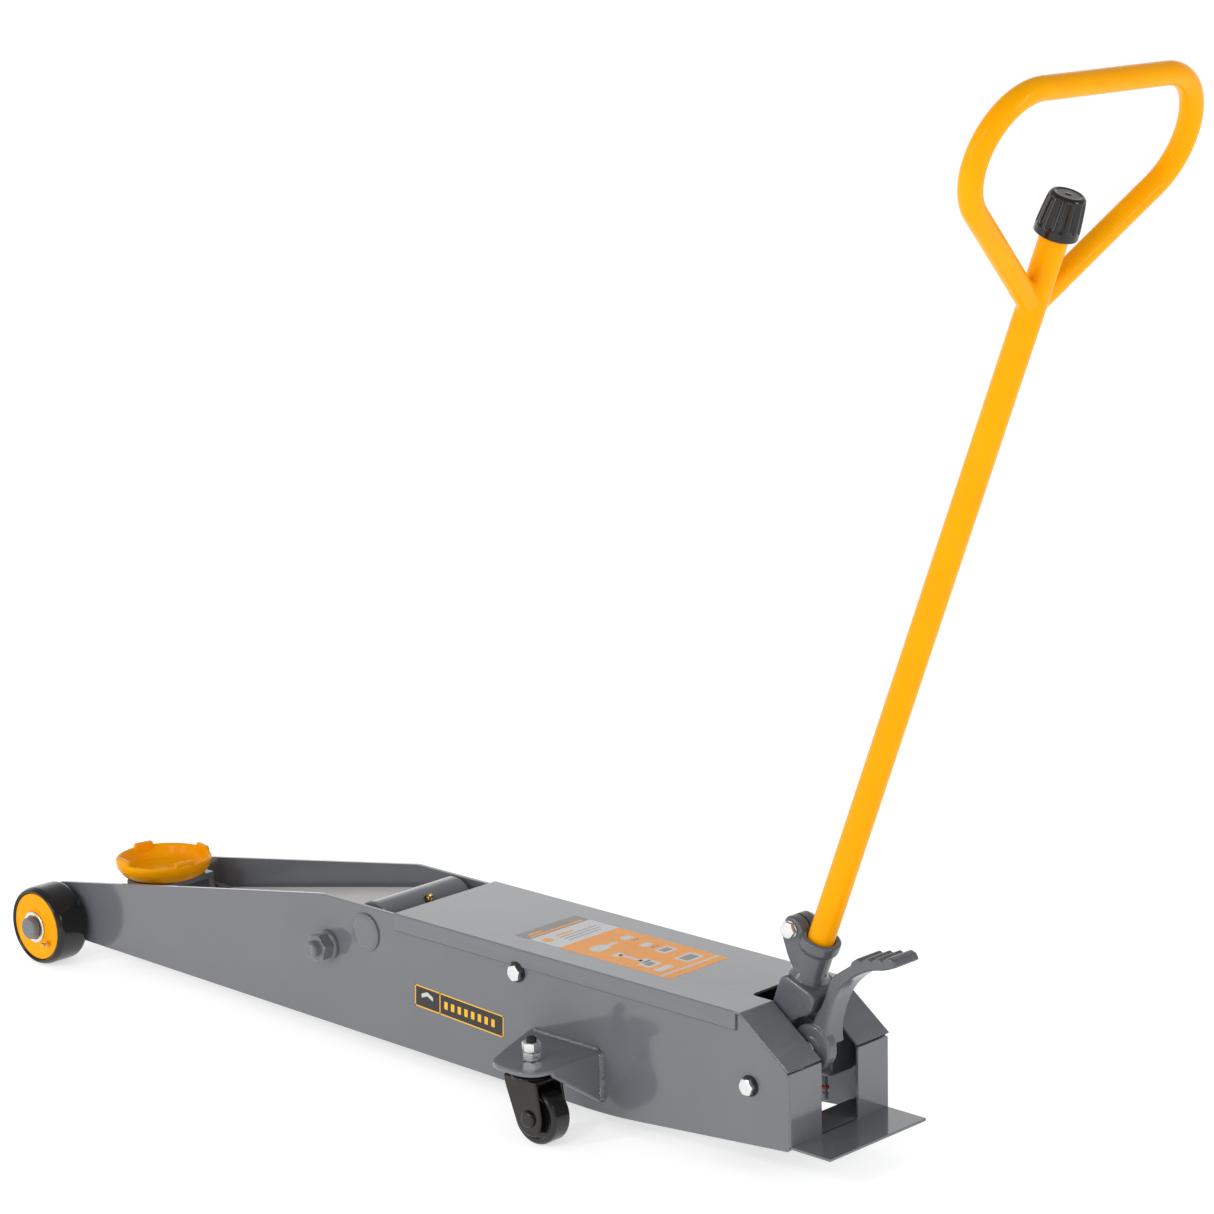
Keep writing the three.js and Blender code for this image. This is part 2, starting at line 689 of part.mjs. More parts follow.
function gripLoop() {
  const { start, top, bend, centre, r } = GRIP;
  const slope = Math.atan(0.8);
  const point = (y, v) => new THREE.Vector3(0, y, v);
  const cz = top - bend;
  const foot = point(12, start + 9.6);
  const bendStart = point(centre + bend * Math.sin(slope), cz - bend * Math.cos(slope));
  const path = new THREE.CurvePath();
  const arcPoint = (t) => point(centre + bend * Math.cos(t), cz + bend * Math.sin(t));
  const corner = [];
  const steps = 9;
  for (let i = 0; i <= steps; i += 1) {
    corner.push(arcPoint(slope - Math.PI / 2 + ((Math.PI - slope) * i) / steps));
  }
  const half = [foot, bendStart.lerp(foot, 0.02), ...corner];
  const other = half.map((p) => point(-p.y, p.z)).reverse();
  const line = [...half, ...other];
  line.slice(1).forEach((p, i) => path.add(new THREE.LineCurve3(line[i], p)));
  const section = new THREE.Shape().absarc(0, 0, r, 0, 2 * Math.PI);
  const loop = new THREE.ExtrudeGeometry(section, {
    extrudePath: path, steps: 36, curveSegments: 6, bevelEnabled: false,
  });
  return cut(loop, barZ(0, 0, TUBE_OUT + GAP, 850, 960, 24));
}

function releaseKnob() {
  const flutes = 10;
  const low = TUBE_TOP + GAP;
  const points = [];
  for (let i = 0; i < flutes * 4; i += 1) {
    const angle = (2 * Math.PI * i) / (flutes * 4);
    const radius = 20.8 + 1.2 * Math.cos(flutes * angle);
    points.push([radius * Math.cos(angle), radius * Math.sin(angle)]);
  }
  const grip = plateZ(points, low + 8, KNOB_TOP - 3);
  const dome = turnZ([[0, KNOB_TOP - 4], [20, KNOB_TOP - 4], [16, KNOB_TOP], [0, KNOB_TOP]], 24);
  return cut(
    join(grip, barZ(0, 0, 14, low, low + 10, 24), dome),
    barZ(0, 0, 5 + GAP, low - 5, low + 15, 12),
  );
}

function footPedal() {
  const hub = { x: PEDAL_HUB.x, z: PEDAL_HUB.z };
  const ridges = [0, 1, 2, 3].flatMap((i) => {
    const x = 1258 + 14 * i;
    const z = 245 + 3.2 * i;
    return [[x, z], [x + 9, z + 6.5]];
  });
  const lever = plateY([
    [1196, 150, 3], [1209, 176], [1217, 200, 4], [1217, 212, 6], [1230, 231, 16], ...ridges,
    [1316, 259, 2], [1320, 252, 2],
    [1304, 243, 8], [1270, 230, 24], [1243, 200, 24], [1226, 160, 12], [1226, 136, 8], [1206, 132],
  ], -20, 20);
  const cheek = barY(hub, PEDAL_HUB.r, -24, -9, 24);
  const space = barY(hub, 22, -8.6, 8.6, 20);
  const above = plateY([[1150, 110], [1186, 190], [1206, 182], [1200, 120]], -8.6, 8.6);
  const waist = plateZ([[1180, 6], [1226, 6], [1262, 20], [1262, 30], [1180, 30]], 100, 270);
  return cut(
    join(lever, cheek),
    space,
    above,
    waist,
    barY(hub, 6 + 0.4, -40, 40),
  );
}

function pedalPin() {
  return join(barY(PEDAL_HUB, 6, -25, 13), barY(PEDAL_HUB, 8, -28, -24 - GAP));
}

function addHandle() {
  add('handle_socket', handleSocket(), GREY_PAINT, handle);
  add('clamp_bolt', clampBolt(), ZINC_PLATE, handle);
  add('handle_tube', handleTube(), ORANGE_PAINT, handle);
  add('grip_loop', gripLoop(), ORANGE_PAINT, handle);
  add('release_knob', releaseKnob(), BLACK_PLASTIC, handle);
  add('release_rod', barZ(0, 0, 5, 14, TUBE_TOP + 12, 12), PLAIN_STEEL, handle);
  add('socket_pin', barY(SOCKET, SOCKET_PIN_R, -57, 57), PLAIN_STEEL);
  add('foot_pedal', footPedal(), GREY_PAINT);
  add('pedal_pin', pedalPin(), PLAIN_STEEL);
}

// ---------------------------------------------------------------- assembly
addChassis();
addFrontWheels();
addLift();
addHydraulics();
addCasters();
addHandle();

jack.updateMatrixWorld(true);
const extent = new THREE.Box3().setFromObject(jack);
jack.position.x = -(extent.min.x + extent.max.x) / 2;

export default jack;
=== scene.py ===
"""A long-chassis hydraulic car jack: fine surfaces, materials, floor, light and camera
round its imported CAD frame. Shapes are drawn in millimetres with x = 0 at the front axle
and +X towards the handle, and are then moved into the frame."""
import math

import bmesh
import bpy
from mathutils import Matrix, Vector


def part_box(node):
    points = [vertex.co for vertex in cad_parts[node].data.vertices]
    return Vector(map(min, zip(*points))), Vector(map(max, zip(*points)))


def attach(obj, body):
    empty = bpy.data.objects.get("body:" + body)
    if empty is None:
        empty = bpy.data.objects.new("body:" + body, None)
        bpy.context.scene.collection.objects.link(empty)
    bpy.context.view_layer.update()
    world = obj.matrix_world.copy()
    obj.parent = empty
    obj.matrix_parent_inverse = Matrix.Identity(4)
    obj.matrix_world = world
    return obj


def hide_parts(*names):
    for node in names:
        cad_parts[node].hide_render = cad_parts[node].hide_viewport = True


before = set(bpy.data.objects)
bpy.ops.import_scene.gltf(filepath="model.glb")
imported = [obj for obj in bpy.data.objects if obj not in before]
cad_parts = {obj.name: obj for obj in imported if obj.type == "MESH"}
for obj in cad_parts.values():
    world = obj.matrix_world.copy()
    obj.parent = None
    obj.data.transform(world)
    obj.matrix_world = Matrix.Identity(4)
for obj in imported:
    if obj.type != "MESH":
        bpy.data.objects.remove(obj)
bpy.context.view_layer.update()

AXLE_X = sum(corner.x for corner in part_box("front_axle")) / 2
TO_ROW = Matrix.Translation((AXLE_X, 0, 0)) @ Matrix.Diagonal((0.001, 0.001, 0.001, 1))

# ---------------------------------------------------------------- dimensions
# Points called PIVOT, STUD and the like are (x, z) in the side view.
GAP = 0.3
BODY_HALF = 80
INNER_HALF = 74
SHEET = 2.5
DECK_Z = 180.5
FLANGE_Z = 163
COVER_FRONT_X = 621
SLOPE_X = 1157
REAR_X = 1223
REAR_TOP_Z = 130
SLOT_HALF = 30
SLOT_FRONT_X = 1127
WHEEL_R = 50
WHEEL_OUT = 133
ARM_HALF = 62
SADDLE_X, CRADLE_TOP = 100, 109
RAM_Z, PLUNGER_Z = 75, 113
PIVOT = (569, 149)
STUD = (502, 120)
ARM_END = (132, 70)
CRADLE_PIN = (ARM_END[0] + STUD[0] - PIVOT[0], ARM_END[1] + STUD[1] - PIVOT[1])
RAM_PIN = (PIVOT[0] + 40, PIVOT[1] - 80 * math.cos(math.pi / 6))
FRONT_SCREW = (821, 155)
REAR_SCREW = (1169, 104)
CASTER_X, CASTER_Y, CASTER_TRAIL, CASTER_R = 911, 150, 14, 32
SHELF_TOP = 92
SOCKET = (1151.8, 128)
HANDLE_TILT = math.radians(21.4)
HANDLE = Matrix.Translation((SOCKET[0], 0, SOCKET[1])) @ Matrix.Rotation(HANDLE_TILT, 4, "Y")
TUBE_OUT = 14.75
TUBE_TOP = 962
PEDAL_HUB = (1204, 139)
BEAD_STEP, BEAD_PITCH, BEAD_RIPPLE = 0.65, 2.6, 0.14
SIDES = {"left": -1, "right": 1}

# ---------------------------------------------------------------- camera
CAMERA_AT = Vector((3620.2, -2812.5, 1465.6))
FOCAL, SENSOR = 108.4, 36
AZIMUTH, ELEVATION, ROLL = math.radians(44.097), math.radians(12.86), math.radians(-1.203)

camera = bpy.data.objects.new("camera", bpy.data.cameras.new("camera"))
camera.data.lens = FOCAL
camera.data.sensor_width = SENSOR
camera.data.clip_end = 200
camera.matrix_world = (
    Matrix.Translation(TO_ROW @ CAMERA_AT)
    @ Matrix.Rotation(AZIMUTH, 4, "Z")
    @ Matrix.Rotation(math.pi / 2 - ELEVATION, 4, "X")
    @ Matrix.Rotation(ROLL, 4, "Z")
)
bpy.context.collection.objects.link(camera)
bpy.context.scene.camera = camera
bpy.context.scene.view_settings.view_transform = "Standard"


# ---------------------------------------------------------------- materials
def node(tree, kind, **sockets):
    made = tree.nodes.new(kind)
    for name, value in sockets.items():
        made.inputs[name.replace("_", " ")].default_value = value
    return made


def noise(tree, at, scale, detail=3, roughness=0.5):
    made = node(tree, "ShaderNodeTexNoise", Scale=scale, Detail=detail, Roughness=roughness)
    tree.links.new(at, made.inputs["Vector"])
    return made.outputs["Fac"]


def ramp(tree, value, low, high, start=0.0, end=1.0):
    """value, read between low and high, turned into start..end."""
    made = node(tree, "ShaderNodeMapRange", **{
        "From_Min": low, "From_Max": high, "To_Min": start, "To_Max": end,
    })
    tree.links.new(value, made.inputs["Value"])
    return made.outputs["Result"]


def blend(tree, factor, first, second):
    made = tree.nodes.new("ShaderNodeMix")
    made.data_type = "RGBA"
    for socket, value in ((6, first), (7, second)):
        if isinstance(value, bpy.types.NodeSocket):
            tree.links.new(value, made.inputs[socket])
        else:
            made.inputs[socket].default_value = (*value, 1)
    tree.links.new(factor, made.inputs[0])
    return made.outputs[2]


def bump(tree, height, distance, strength, below=None):
    made = node(tree, "ShaderNodeBump", Strength=strength, Distance=distance)
    tree.links.new(height, made.inputs["Height"])
    if below:
        tree.links.new(below, made.inputs["Normal"])
    return made.outputs["Normal"]


def finish(name, color, other, roughness, metallic=0.0, coat=0.0, patch=14,
           grain=900, grain_depth=0.00004, wave=0, wave_depth=0.0, edge=None, level=0.5):
    """A surface finish. color drifts to other in patches, roughness is a low-high pair,
    grain is the fine relief per metre, wave a slow one, edge the tint of worn edges, and
    level the strength of the surface's own reflection."""
    made = bpy.data.materials.new(name)
    made.use_nodes = True
    tree = made.node_tree
    shader = tree.nodes["Principled BSDF"]
    shader.inputs["Metallic"].default_value = metallic
    shader.inputs["IOR"].default_value = 1.5
    shader.inputs["Specular IOR Level"].default_value = level
    shader.inputs["Coat Weight"].default_value = coat
    shader.inputs["Coat Roughness"].default_value = 0.06
    at = tree.nodes.new("ShaderNodeTexCoord").outputs["Object"]
    drift = ramp(tree, noise(tree, at, patch, 4), 0.35, 0.65)
    tint = blend(tree, drift, color, other)
    if edge:
        point = tree.nodes.new("ShaderNodeNewGeometry").outputs["Pointiness"]
        worn = ramp(tree, point, 0.55, 0.70, 0.0, 0.4)
        tint = blend(tree, worn, tint, edge)
    tree.links.new(tint, shader.inputs["Base Color"])
    gloss = noise(tree, at, patch * 5, 5, 0.6)
    tree.links.new(ramp(tree, gloss, 0.3, 0.7, *roughness), shader.inputs["Roughness"])
    relief = bump(tree, noise(tree, at, grain, 2), grain_depth, 0.35)
    if wave:
        relief = bump(tree, noise(tree, at, wave, 2), wave_depth, 0.5, relief)
    tree.links.new(relief, shader.inputs["Normal"])
    return made


FINISHES = {
    "grey_paint": finish(
        "grey_enamel", (0.150, 0.158, 0.173), (0.142, 0.150, 0.166), (0.10, 0.16),
        coat=0.3, grain=420, grain_depth=0.00005, wave=22, wave_depth=0.0002,
        edge=(0.20, 0.21, 0.23)),
    # Painted light: the arm's upper deck is a much paler grey than the rest of the arm, standing in
    # for the light on its upward face.
    "lit_deck_grey": finish(
        "painted_light_deck_enamel", (0.62, 0.60, 0.59), (0.58, 0.56, 0.55), (0.38, 0.50),
        grain=500, grain_depth=0.00008, wave=30, wave_depth=0.0003),
    "cast_grey": finish(
        "cast_grey_enamel", (0.112, 0.119, 0.132), (0.098, 0.105, 0.118), (0.16, 0.30),
        coat=0.2, grain=520, grain_depth=0.00014, wave=130, wave_depth=0.0006),
    "orange_paint": finish(
        "orange_enamel", (1.0, 0.41, 0.0), (1.0, 0.385, 0.0), (0.14, 0.22),
        grain=380, grain_depth=0.00004, wave=30, wave_depth=0.0002, level=0.08),
    "black_nylon": finish(
        "black_nylon", (0.004, 0.004, 0.004), (0.007, 0.007, 0.007), (0.12, 0.24),
        grain=700, grain_depth=0.00005, wave=90, wave_depth=0.0002, level=0.5),
    "black_paint": finish(
        "black_enamel", (0.009, 0.008, 0.007), (0.015, 0.013, 0.011), (0.13, 0.22),
        grain=600, grain_depth=0.00006, wave=120, wave_depth=0.0003, level=0.4),
    "zinc_plate": finish(
        "zinc_plate", (0.80, 0.81, 0.80), (0.70, 0.72, 0.72), (0.22, 0.36),
        metallic=1.0, patch=160, grain=1800, grain_depth=0.00008),
    "bare_steel": finish(
        "oiled_steel", (0.40, 0.40, 0.40), (0.30, 0.30, 0.31), (0.20, 0.36),
        metallic=1.0, patch=60, grain=2200, grain_depth=0.00004),
    "brass": finish(
        "brass", (0.83, 0.55, 0.16), (0.66, 0.40, 0.10), (0.16, 0.28),
        metallic=1.0, patch=300, grain=2500, grain_depth=0.00004),
    "red_plastic": finish(
        "red_plastic", (0.55, 0.035, 0.02), (0.45, 0.03, 0.02), (0.28, 0.42),
        grain=900, grain_depth=0.00006),
    # Dark oxide for threads and small parts. It also serves as painted shade: the cover's shadow
    # strips and the dark screw washers.
    "dark_finish_and_shade": finish(
        "dark_oxide_and_painted_shade", (0.016, 0.015, 0.014), (0.030, 0.027, 0.024), (0.24, 0.40),
        metallic=0.6, patch=200, grain=1500, grain_depth=0.00008),
    "print_black": finish(
        "print_black", (0.012, 0.012, 0.012), (0.016, 0.016, 0.016), (0.20, 0.28),
        grain=1600, grain_depth=0.00002),
    "print_yellow": finish(
        "print_yellow", (1.0, 0.50, 0.004), (0.96, 0.46, 0.004), (0.20, 0.28),
        grain=1600, grain_depth=0.00002),
    "print_orange": finish(
        "print_orange", (1.0, 0.38, 0.03), (0.96, 0.36, 0.03), (0.22, 0.30),
        grain=1600, grain_depth=0.00002, level=0.12),
    "print_white": finish(
        "print_white", (0.60, 0.60, 0.60), (0.56, 0.56, 0.57), (0.22, 0.30),
        grain=1600, grain_depth=0.00002),
    "print_grey": finish(
        "print_grey", (0.16, 0.145, 0.13), (0.14, 0.13, 0.12), (0.22, 0.30),
        grain=1600, grain_depth=0.00002),
}


# ---------------------------------------------------------------- mesh making
def outline(points, steps=8):
    """A closed outline with rounded corners from (x, y, corner size) points."""
    ring = []
    for i, (x, y, *size) in enumerate(points):
        at = Vector((x, y))
        before = Vector(points[i - 1][:2])
        after = Vector(points[(i + 1) % len(points)][:2])
        reach = min(size[0] if size else 0, 0.45 * (at - before).length, 0.45 * (at - after).length)
        if reach <= 0:
            ring.append(at)
            continue
        a = at + (before - at).normalized() * reach
        b = at + (after - at).normalized() * reach
        for k in range(steps + 1):
            t = k / steps
            ring.append(a * (1 - t) ** 2 + at * 2 * t * (1 - t) + b * t * t)
    return ring


def placed(axis, p, height):
    """The point p of a drawing, at that height along the axis."""
    return {"X": (height, p[0], p[1]), "Y": (p[0], height, p[1]), "Z": (p[0], p[1], height)}[axis]


def skin(rings, wrap=False):
    """A closed surface through rings of points. A ring of one point is a tip."""
    bm = bmesh.new()
    rows = [[bm.verts.new(p) for p in ring] for ring in rings]
    pairs = list(zip(rows, rows[1:])) + ([(rows[-1], rows[0])] if wrap else [])
    for a, b in pairs:
        count = max(len(a), len(b))
        for i in range(count):
            j = (i + 1) % count
            corners = [a[i % len(a)], a[j % len(a)], b[j % len(b)], b[i % len(b)]]
            bm.faces.new(list(dict.fromkeys(corners)))
    if not wrap:
        for row in (rows[0], rows[-1]):
            if len(row) > 2:
                bm.faces.new(row)
    bmesh.ops.recalc_face_normals(bm, faces=bm.faces)
    return bm


def plate(points, low, high, axis="Y", rim=0.8, steps=8):
    """A flat plate with that outline, its rims rounded."""
    ring = outline(points, steps)
    turn = sum(a.x * b.y - b.x * a.y for a, b in zip(ring, ring[1:] + ring[:1]))
    if turn < 0:
        ring.reverse()
    inward = []
    for i, p in enumerate(ring):
        a = (p - ring[i - 1]).normalized()
        b = (ring[(i + 1) % len(ring)] - p).normalized()
        na, nb = Vector((-a.y, a.x)), Vector((-b.y, b.x))
        inward.append((na + nb) / max(1 + na.dot(nb), 0.5))
    rim = min(rim, 0.49 * (high - low))
    arc = [math.pi / 2 * k / 3 for k in range(4)] if rim > 0 else [math.pi / 2]
    levels = [(rim * (1 - math.sin(a)), low + rim * (1 - math.cos(a))) for a in arc]
    levels += [(inset, low + high - h) for inset, h in reversed(levels)]
    return skin([
        [placed(axis, p + n * inset, h) for p, n in zip(ring, inward)] for inset, h in levels
    ])


def turned(points, axis="Z", at=(0, 0, 0), sides=72, steps=5, wobble=None):
    """A turned piece. points are (radius, height, rounding): a chain from the axis back to
    the axis, or a closed loop. wobble(angle, height) is added to the radius."""
    profile = outline(points, steps)
    open_chain = profile[0].x < 1e-6 and profile[-1].x < 1e-6
    rings = []
    for r, h in profile:
        if r < 1e-6:
            rings.append([Vector(placed(axis, (0, 0), h)) + Vector(at)])
            continue
        ring = []
        for i in range(sides):
            angle = 2 * math.pi * i / sides
            radius = r + (wobble(angle, h) if wobble else 0)
            spot = (radius * math.cos(angle), radius * math.sin(angle))
            ring.append(Vector(placed(axis, spot, h)) + Vector(at))
        rings.append(ring)
    return skin(rings, wrap=not open_chain)


def rod(radius, low, high, axis, at=(0, 0, 0), rim=0.8, sides=64):
    return turned(
        [(0, low), (radius, low, rim), (radius, high, rim), (0, high)], axis, at, sides, 3)


def swept(path, radius, sides=24, ripple=0.0, closed=False):
    """A tube along a path. ripple gives it the scales of a weld bead."""
    path = [Vector(p) for p in path]
    count = len(path)
    tangents = []
    for i in range(count):
        before = path[i - 1] if i or closed else path[i]
        after = path[(i + 1) % count] if i < count - 1 or closed else path[i]
        tangents.append((after - before).normalized())
    side = tangents[0].orthogonal().normalized()
    rings, run = [], 0.0
    for i, (p, along) in enumerate(zip(path, tangents)):
        run += (p - path[i - 1]).length if i else 0
        side = (side - along * side.dot(along)).normalized()
        other = along.cross(side)
        scale = 1 + ripple * abs(math.sin(math.pi * run / BEAD_PITCH))
        end = min(i, count - 1 - i)
        if ripple and not closed and end < 3:
            scale *= (0.45, 0.75, 0.92)[end]
        rings.append([
            p + (side * math.cos(a) + other * math.sin(a)) * radius * scale
            for a in (2 * math.pi * k / sides for k in range(sides))
        ])
    return skin(rings, wrap=closed)


def between(points, step=BEAD_STEP):
    """Points along straight stretches, step apart."""
    path = []
    for a, b in zip(points, points[1:]):
        a, b = Vector(a), Vector(b)
        count = max(2, int((b - a).length / step))
        path += [a.lerp(b, k / count) for k in range(count)]
    return path + [Vector(points[-1])]


def weld(points, radius):
    """A bead of weld along those points. It drifts a little, as a hand does."""
    path = between(points)
    for i, p in enumerate(path):
        p += Vector((0.25, 0.2, 0.25)) * math.sin(0.31 * i) * math.sin(0.083 * i + 1)
    return swept(path, radius, 12, ripple=BEAD_RIPPLE)


def weld_ring(radius, bead, axis, at, height):
    count = int(2 * math.pi * radius / BEAD_STEP)
    path = [
        Vector(placed(axis, (radius * math.cos(a), radius * math.sin(a)), height)) + Vector(at)
        for a in (2 * math.pi * k / count for k in range(count))
    ]
    return swept(path, bead, 12, ripple=BEAD_RIPPLE, closed=True)


def merged(parts):
    whole = bmesh.new()
    for part in parts:
        mesh = bpy.data.meshes.new("part")
        part.to_mesh(mesh)
        whole.from_mesh(mesh)
        bpy.data.meshes.remove(mesh)
    return whole


def changed(bm, *modifiers):
    """The bmesh after those modifiers, each a (type, settings) pair."""
    mesh = bpy.data.meshes.new("work")
    bm.to_mesh(mesh)
    obj = bpy.data.objects.new("work", mesh)
    bpy.context.collection.objects.link(obj)
    for kind, settings in modifiers:
        modifier = obj.modifiers.new(kind, kind)
        for name, value in settings.items():
            setattr(modifier, name, value)
    result = bmesh.new()
    result.from_object(obj, bpy.context.evaluated_depsgraph_get())
    bpy.data.objects.remove(obj)
    bpy.data.meshes.remove(mesh)
    return result


def boolean(bm, tool, operation):
    mesh = bpy.data.meshes.new("tool")
    tool.to_mesh(mesh)
    obj = bpy.data.objects.new("tool", mesh)
    bpy.context.collection.objects.link(obj)
    result = changed(bm, ("BOOLEAN", {"object": obj, "operation": operation, "solver": "EXACT"}))
    bpy.data.objects.remove(obj)
    bpy.data.meshes.remove(mesh)
    return result


def cut(bm, *tools):
    for tool in tools:
        bm = boolean(bm, tool, "DIFFERENCE")
    return bm


def cast(parts, voxel=1.0, rounds=6):
    """Overlapping bodies run into one casting with soft inner corners."""
    return changed(
        merged(parts),
        ("REMESH", {"mode": "VOXEL", "voxel_size": voxel}),
        ("SMOOTH", {"iterations": rounds, "factor": 0.5}),
    )


def moved(bm, matrix):
    copy = bm.copy()
    copy.transform(matrix)
    if matrix.determinant() < 0:
        bmesh.ops.reverse_faces(copy, faces=copy.faces)
    return copy


def mirrored(bm):
    return moved(bm, Matrix.Diagonal((1, -1, 1, 1)))


def hexagon(flats, low, high, axis, at=(0, 0, 0), turn=0.0, ends=(True, True)):
    """A hexagon nut or head across flats, chamfered at the given ends."""
    corner = flats / math.sqrt(3)
    points = [
        (corner * math.cos(turn + math.pi / 3 * k), corner * math.sin(turn + math.pi / 3 * k))
        for k in range(6)
    ]
    prism = plate(points, low, high, axis, rim=0.15)
    face, drop = 0.475 * flats, 0.06 * flats
    wide = 0.62 * flats
    chain = [(0, low)]
    chain += [(face, low), (wide, low + drop * 1.4)] if ends[0] else [(wide, low)]
    chain += [(wide, high - drop * 1.4), (face, high)] if ends[1] else [(wide, high)]
    chain += [(0, high)]
    return moved(boolean(prism, turned(chain, axis), "INTERSECT"), Matrix.Translation(at))


def piece(name, body, surface, parts, *nodes, place=None, sharp=38):
    """One finished object of that surface, riding on a body in the place of CAD nodes."""
    bm = merged(parts)
    bm.transform(TO_ROW @ (place or Matrix.Identity(4)))
    mesh = bpy.data.meshes.new(name)
    bm.to_mesh(mesh)
    mesh.shade_smooth()
    mesh.set_sharp_from_angle(angle=math.radians(sharp))
    mesh.materials.append(FINISHES[surface])
    obj = bpy.data.objects.new(name, mesh)
    bpy.context.collection.objects.link(obj)
    weighted = obj.modifiers.new("normals", "WEIGHTED_NORMAL")
    weighted.keep_sharp = True
    evaluated = obj.evaluated_get(bpy.context.evaluated_depsgraph_get())
    final = bpy.data.meshes.new_from_object(evaluated)
    obj.modifiers.clear()
    obj.data = final
    final.name = name
    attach(obj, body)
    if nodes:
        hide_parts(*nodes)
    return obj


def pair(name, body, surface, left_parts, *nodes):
    """The same piece on both sides. body and nodes name the side with {}."""
    for side, sign in SIDES.items():
        parts = left_parts if sign < 0 else [mirrored(p) for p in left_parts]
        piece(f"{name}_{side}", body.format(side), surface, parts,
              *(n.format(side) for n in nodes))


def spot(at):
    """The point (x, z) of the side view, in the middle of the jack."""
    return (at[0], 0, at[1])


# ---------------------------------------------------------------- chassis
def make_side_plates():
    blank = plate([
        (-36, 26, 30), (960, 18, 40), (REAR_X, 42, 4), (REAR_X, REAR_TOP_Z - 1.8, 5),
        (SLOPE_X, DECK_Z - 1.8, 8), (SLOPE_X - 12, DECK_Z), (492, DECK_Z, 6), (-36, 91, 32),
    ], -BODY_HALF, -INNER_HALF, rim=0.9, steps=14)
    pair("plate", "chassis", "grey_paint", [blank], "side_plate_{}")


def make_cover():
    half = BODY_HALF + GAP + SHEET
    under = DECK_Z + GAP
    top = under + SHEET
    channel = plate([
        (-half, FLANGE_Z), (-half, top - 3), (-half, top, 3), (3 - half, top), (half - 3, top),
        (half, top, 3), (half, top - 3), (half, FLANGE_Z),
        (half - SHEET, FLANGE_Z), (half - SHEET, under, 1.4), (SHEET - half, under, 1.4),
        (SHEET - half, FLANGE_Z),
    ], COVER_FRONT_X, SLOPE_X - 6, "X", rim=0.5)
    slope = plate([
        (SLOPE_X - 6.2, under), (SLOPE_X + 1, under, 3), (SLOPE_X + 4, under - 2.3),
        (REAR_X + 1, REAR_TOP_Z + 1), (REAR_X + 3, REAR_TOP_Z + 3), (SLOPE_X + 4, top - 2.3),
        (SLOPE_X + 1, top, 3), (SLOPE_X - 2, top), (SLOPE_X - 6.2, top),
    ], -half, half, rim=0.5)
    slot = plate([
        (SLOT_FRONT_X, -SLOT_HALF, 8), (REAR_X + 20, -SLOT_HALF),
        (REAR_X + 20, SLOT_HALF), (SLOT_FRONT_X, SLOT_HALF, 8),
    ], 100, 200, "Z", rim=0)
    notch = rod(13, -half - 4, half + 4, "Y", spot(FRONT_SCREW), rim=0)
    channel = cut(channel, slot, notch)
    slope = cut(slope, slot)
    piece("cover", "chassis", "grey_paint", [channel, slope], "top_cover")
    # Painted shadow: thin dark strips under the flange and along the slope stand in for the shade
    # in the gaps. They stop short of the front screw's washer.
    clear = 14
    low, high = FLANGE_Z - 1.1, FLANGE_Z + 0.1
    shadow_lines = [
        plate([(-81.2, low), (-80.3, low), (-80.3, high), (-81.2, high)], a, b, "X", rim=0)
        for a, b in ((COVER_FRONT_X, FRONT_SCREW[0] - clear), (FRONT_SCREW[0] + clear, SLOPE_X - 6))
    ]
    under_slope = plate([
        (SLOPE_X, DECK_Z - 1.7), (SLOPE_X + 3, DECK_Z - 1.4), (REAR_X, REAR_TOP_Z + 0.2),
        (REAR_X, REAR_TOP_Z - 1.7),
    ], -79.8, -75, rim=0)
    pair("cover_shadow_strip", "chassis", "dark_finish_and_shade", [*shadow_lines, under_slope])


def make_rear():
    x0 = REAR_X + GAP
    low = 46
    upright = plate([
        (-BODY_HALF, low), (BODY_HALF, low), (BODY_HALF, REAR_TOP_Z, 2),
        (SLOT_HALF, REAR_TOP_Z, 2), (SLOT_HALF, low + 3, 2), (-SLOT_HALF, low + 3, 2),
        (-SLOT_HALF, REAR_TOP_Z, 2), (-BODY_HALF, REAR_TOP_Z, 2),
    ], x0, x0 + 3, "X", rim=0.6)
    tail = plate([
        (x0, -BODY_HALF), (1280, -BODY_HALF, 3), (1280, BODY_HALF, 3), (x0, BODY_HALF),
    ], low, low + 3, "Z", rim=0.7)
    tongue = plate([
        (1180, -INNER_HALF + 1, 3), (x0 + 1, -INNER_HALF + 1),
        (x0 + 1, INNER_HALF - 1), (1180, INNER_HALF - 1, 3),
    ], low, low + 3, "Z", rim=0.6)
    fold = [weld([(x0 + 0.4, s * 79.5, low + 2), (x0 + 0.4, s * 79.5, 128)], 1.4) for s in (-1, 1)]
    piece("rear_sheet", "chassis", "grey_paint", [upright, tail, tongue, *fold], "rear_plate")
    at = (1166, 46, 0)
    shaft = turned([
        (0, 51), (1.6, 51, 0.4), (3, 52.4, 0.6), (3, 60, 0.5), (2.4, 61, 0.5), (2.4, 83.7),
        (0, 83.7),
    ], "Z", at, 40)
    ring = turned([(2.2, 64.8), (4, 64.8, 0.8), (4, 68.2, 0.8), (2.2, 68.2)], "Z", at, 48,
                  wobble=lambda a, h: 0.2 * math.cos(12 * a) if 65 < h < 68 else 0)
    piece("plug_stem", "chassis", "grey_paint", [shaft])
    piece("plug_ring", "chassis", "red_plastic", [ring], "drain_plug")


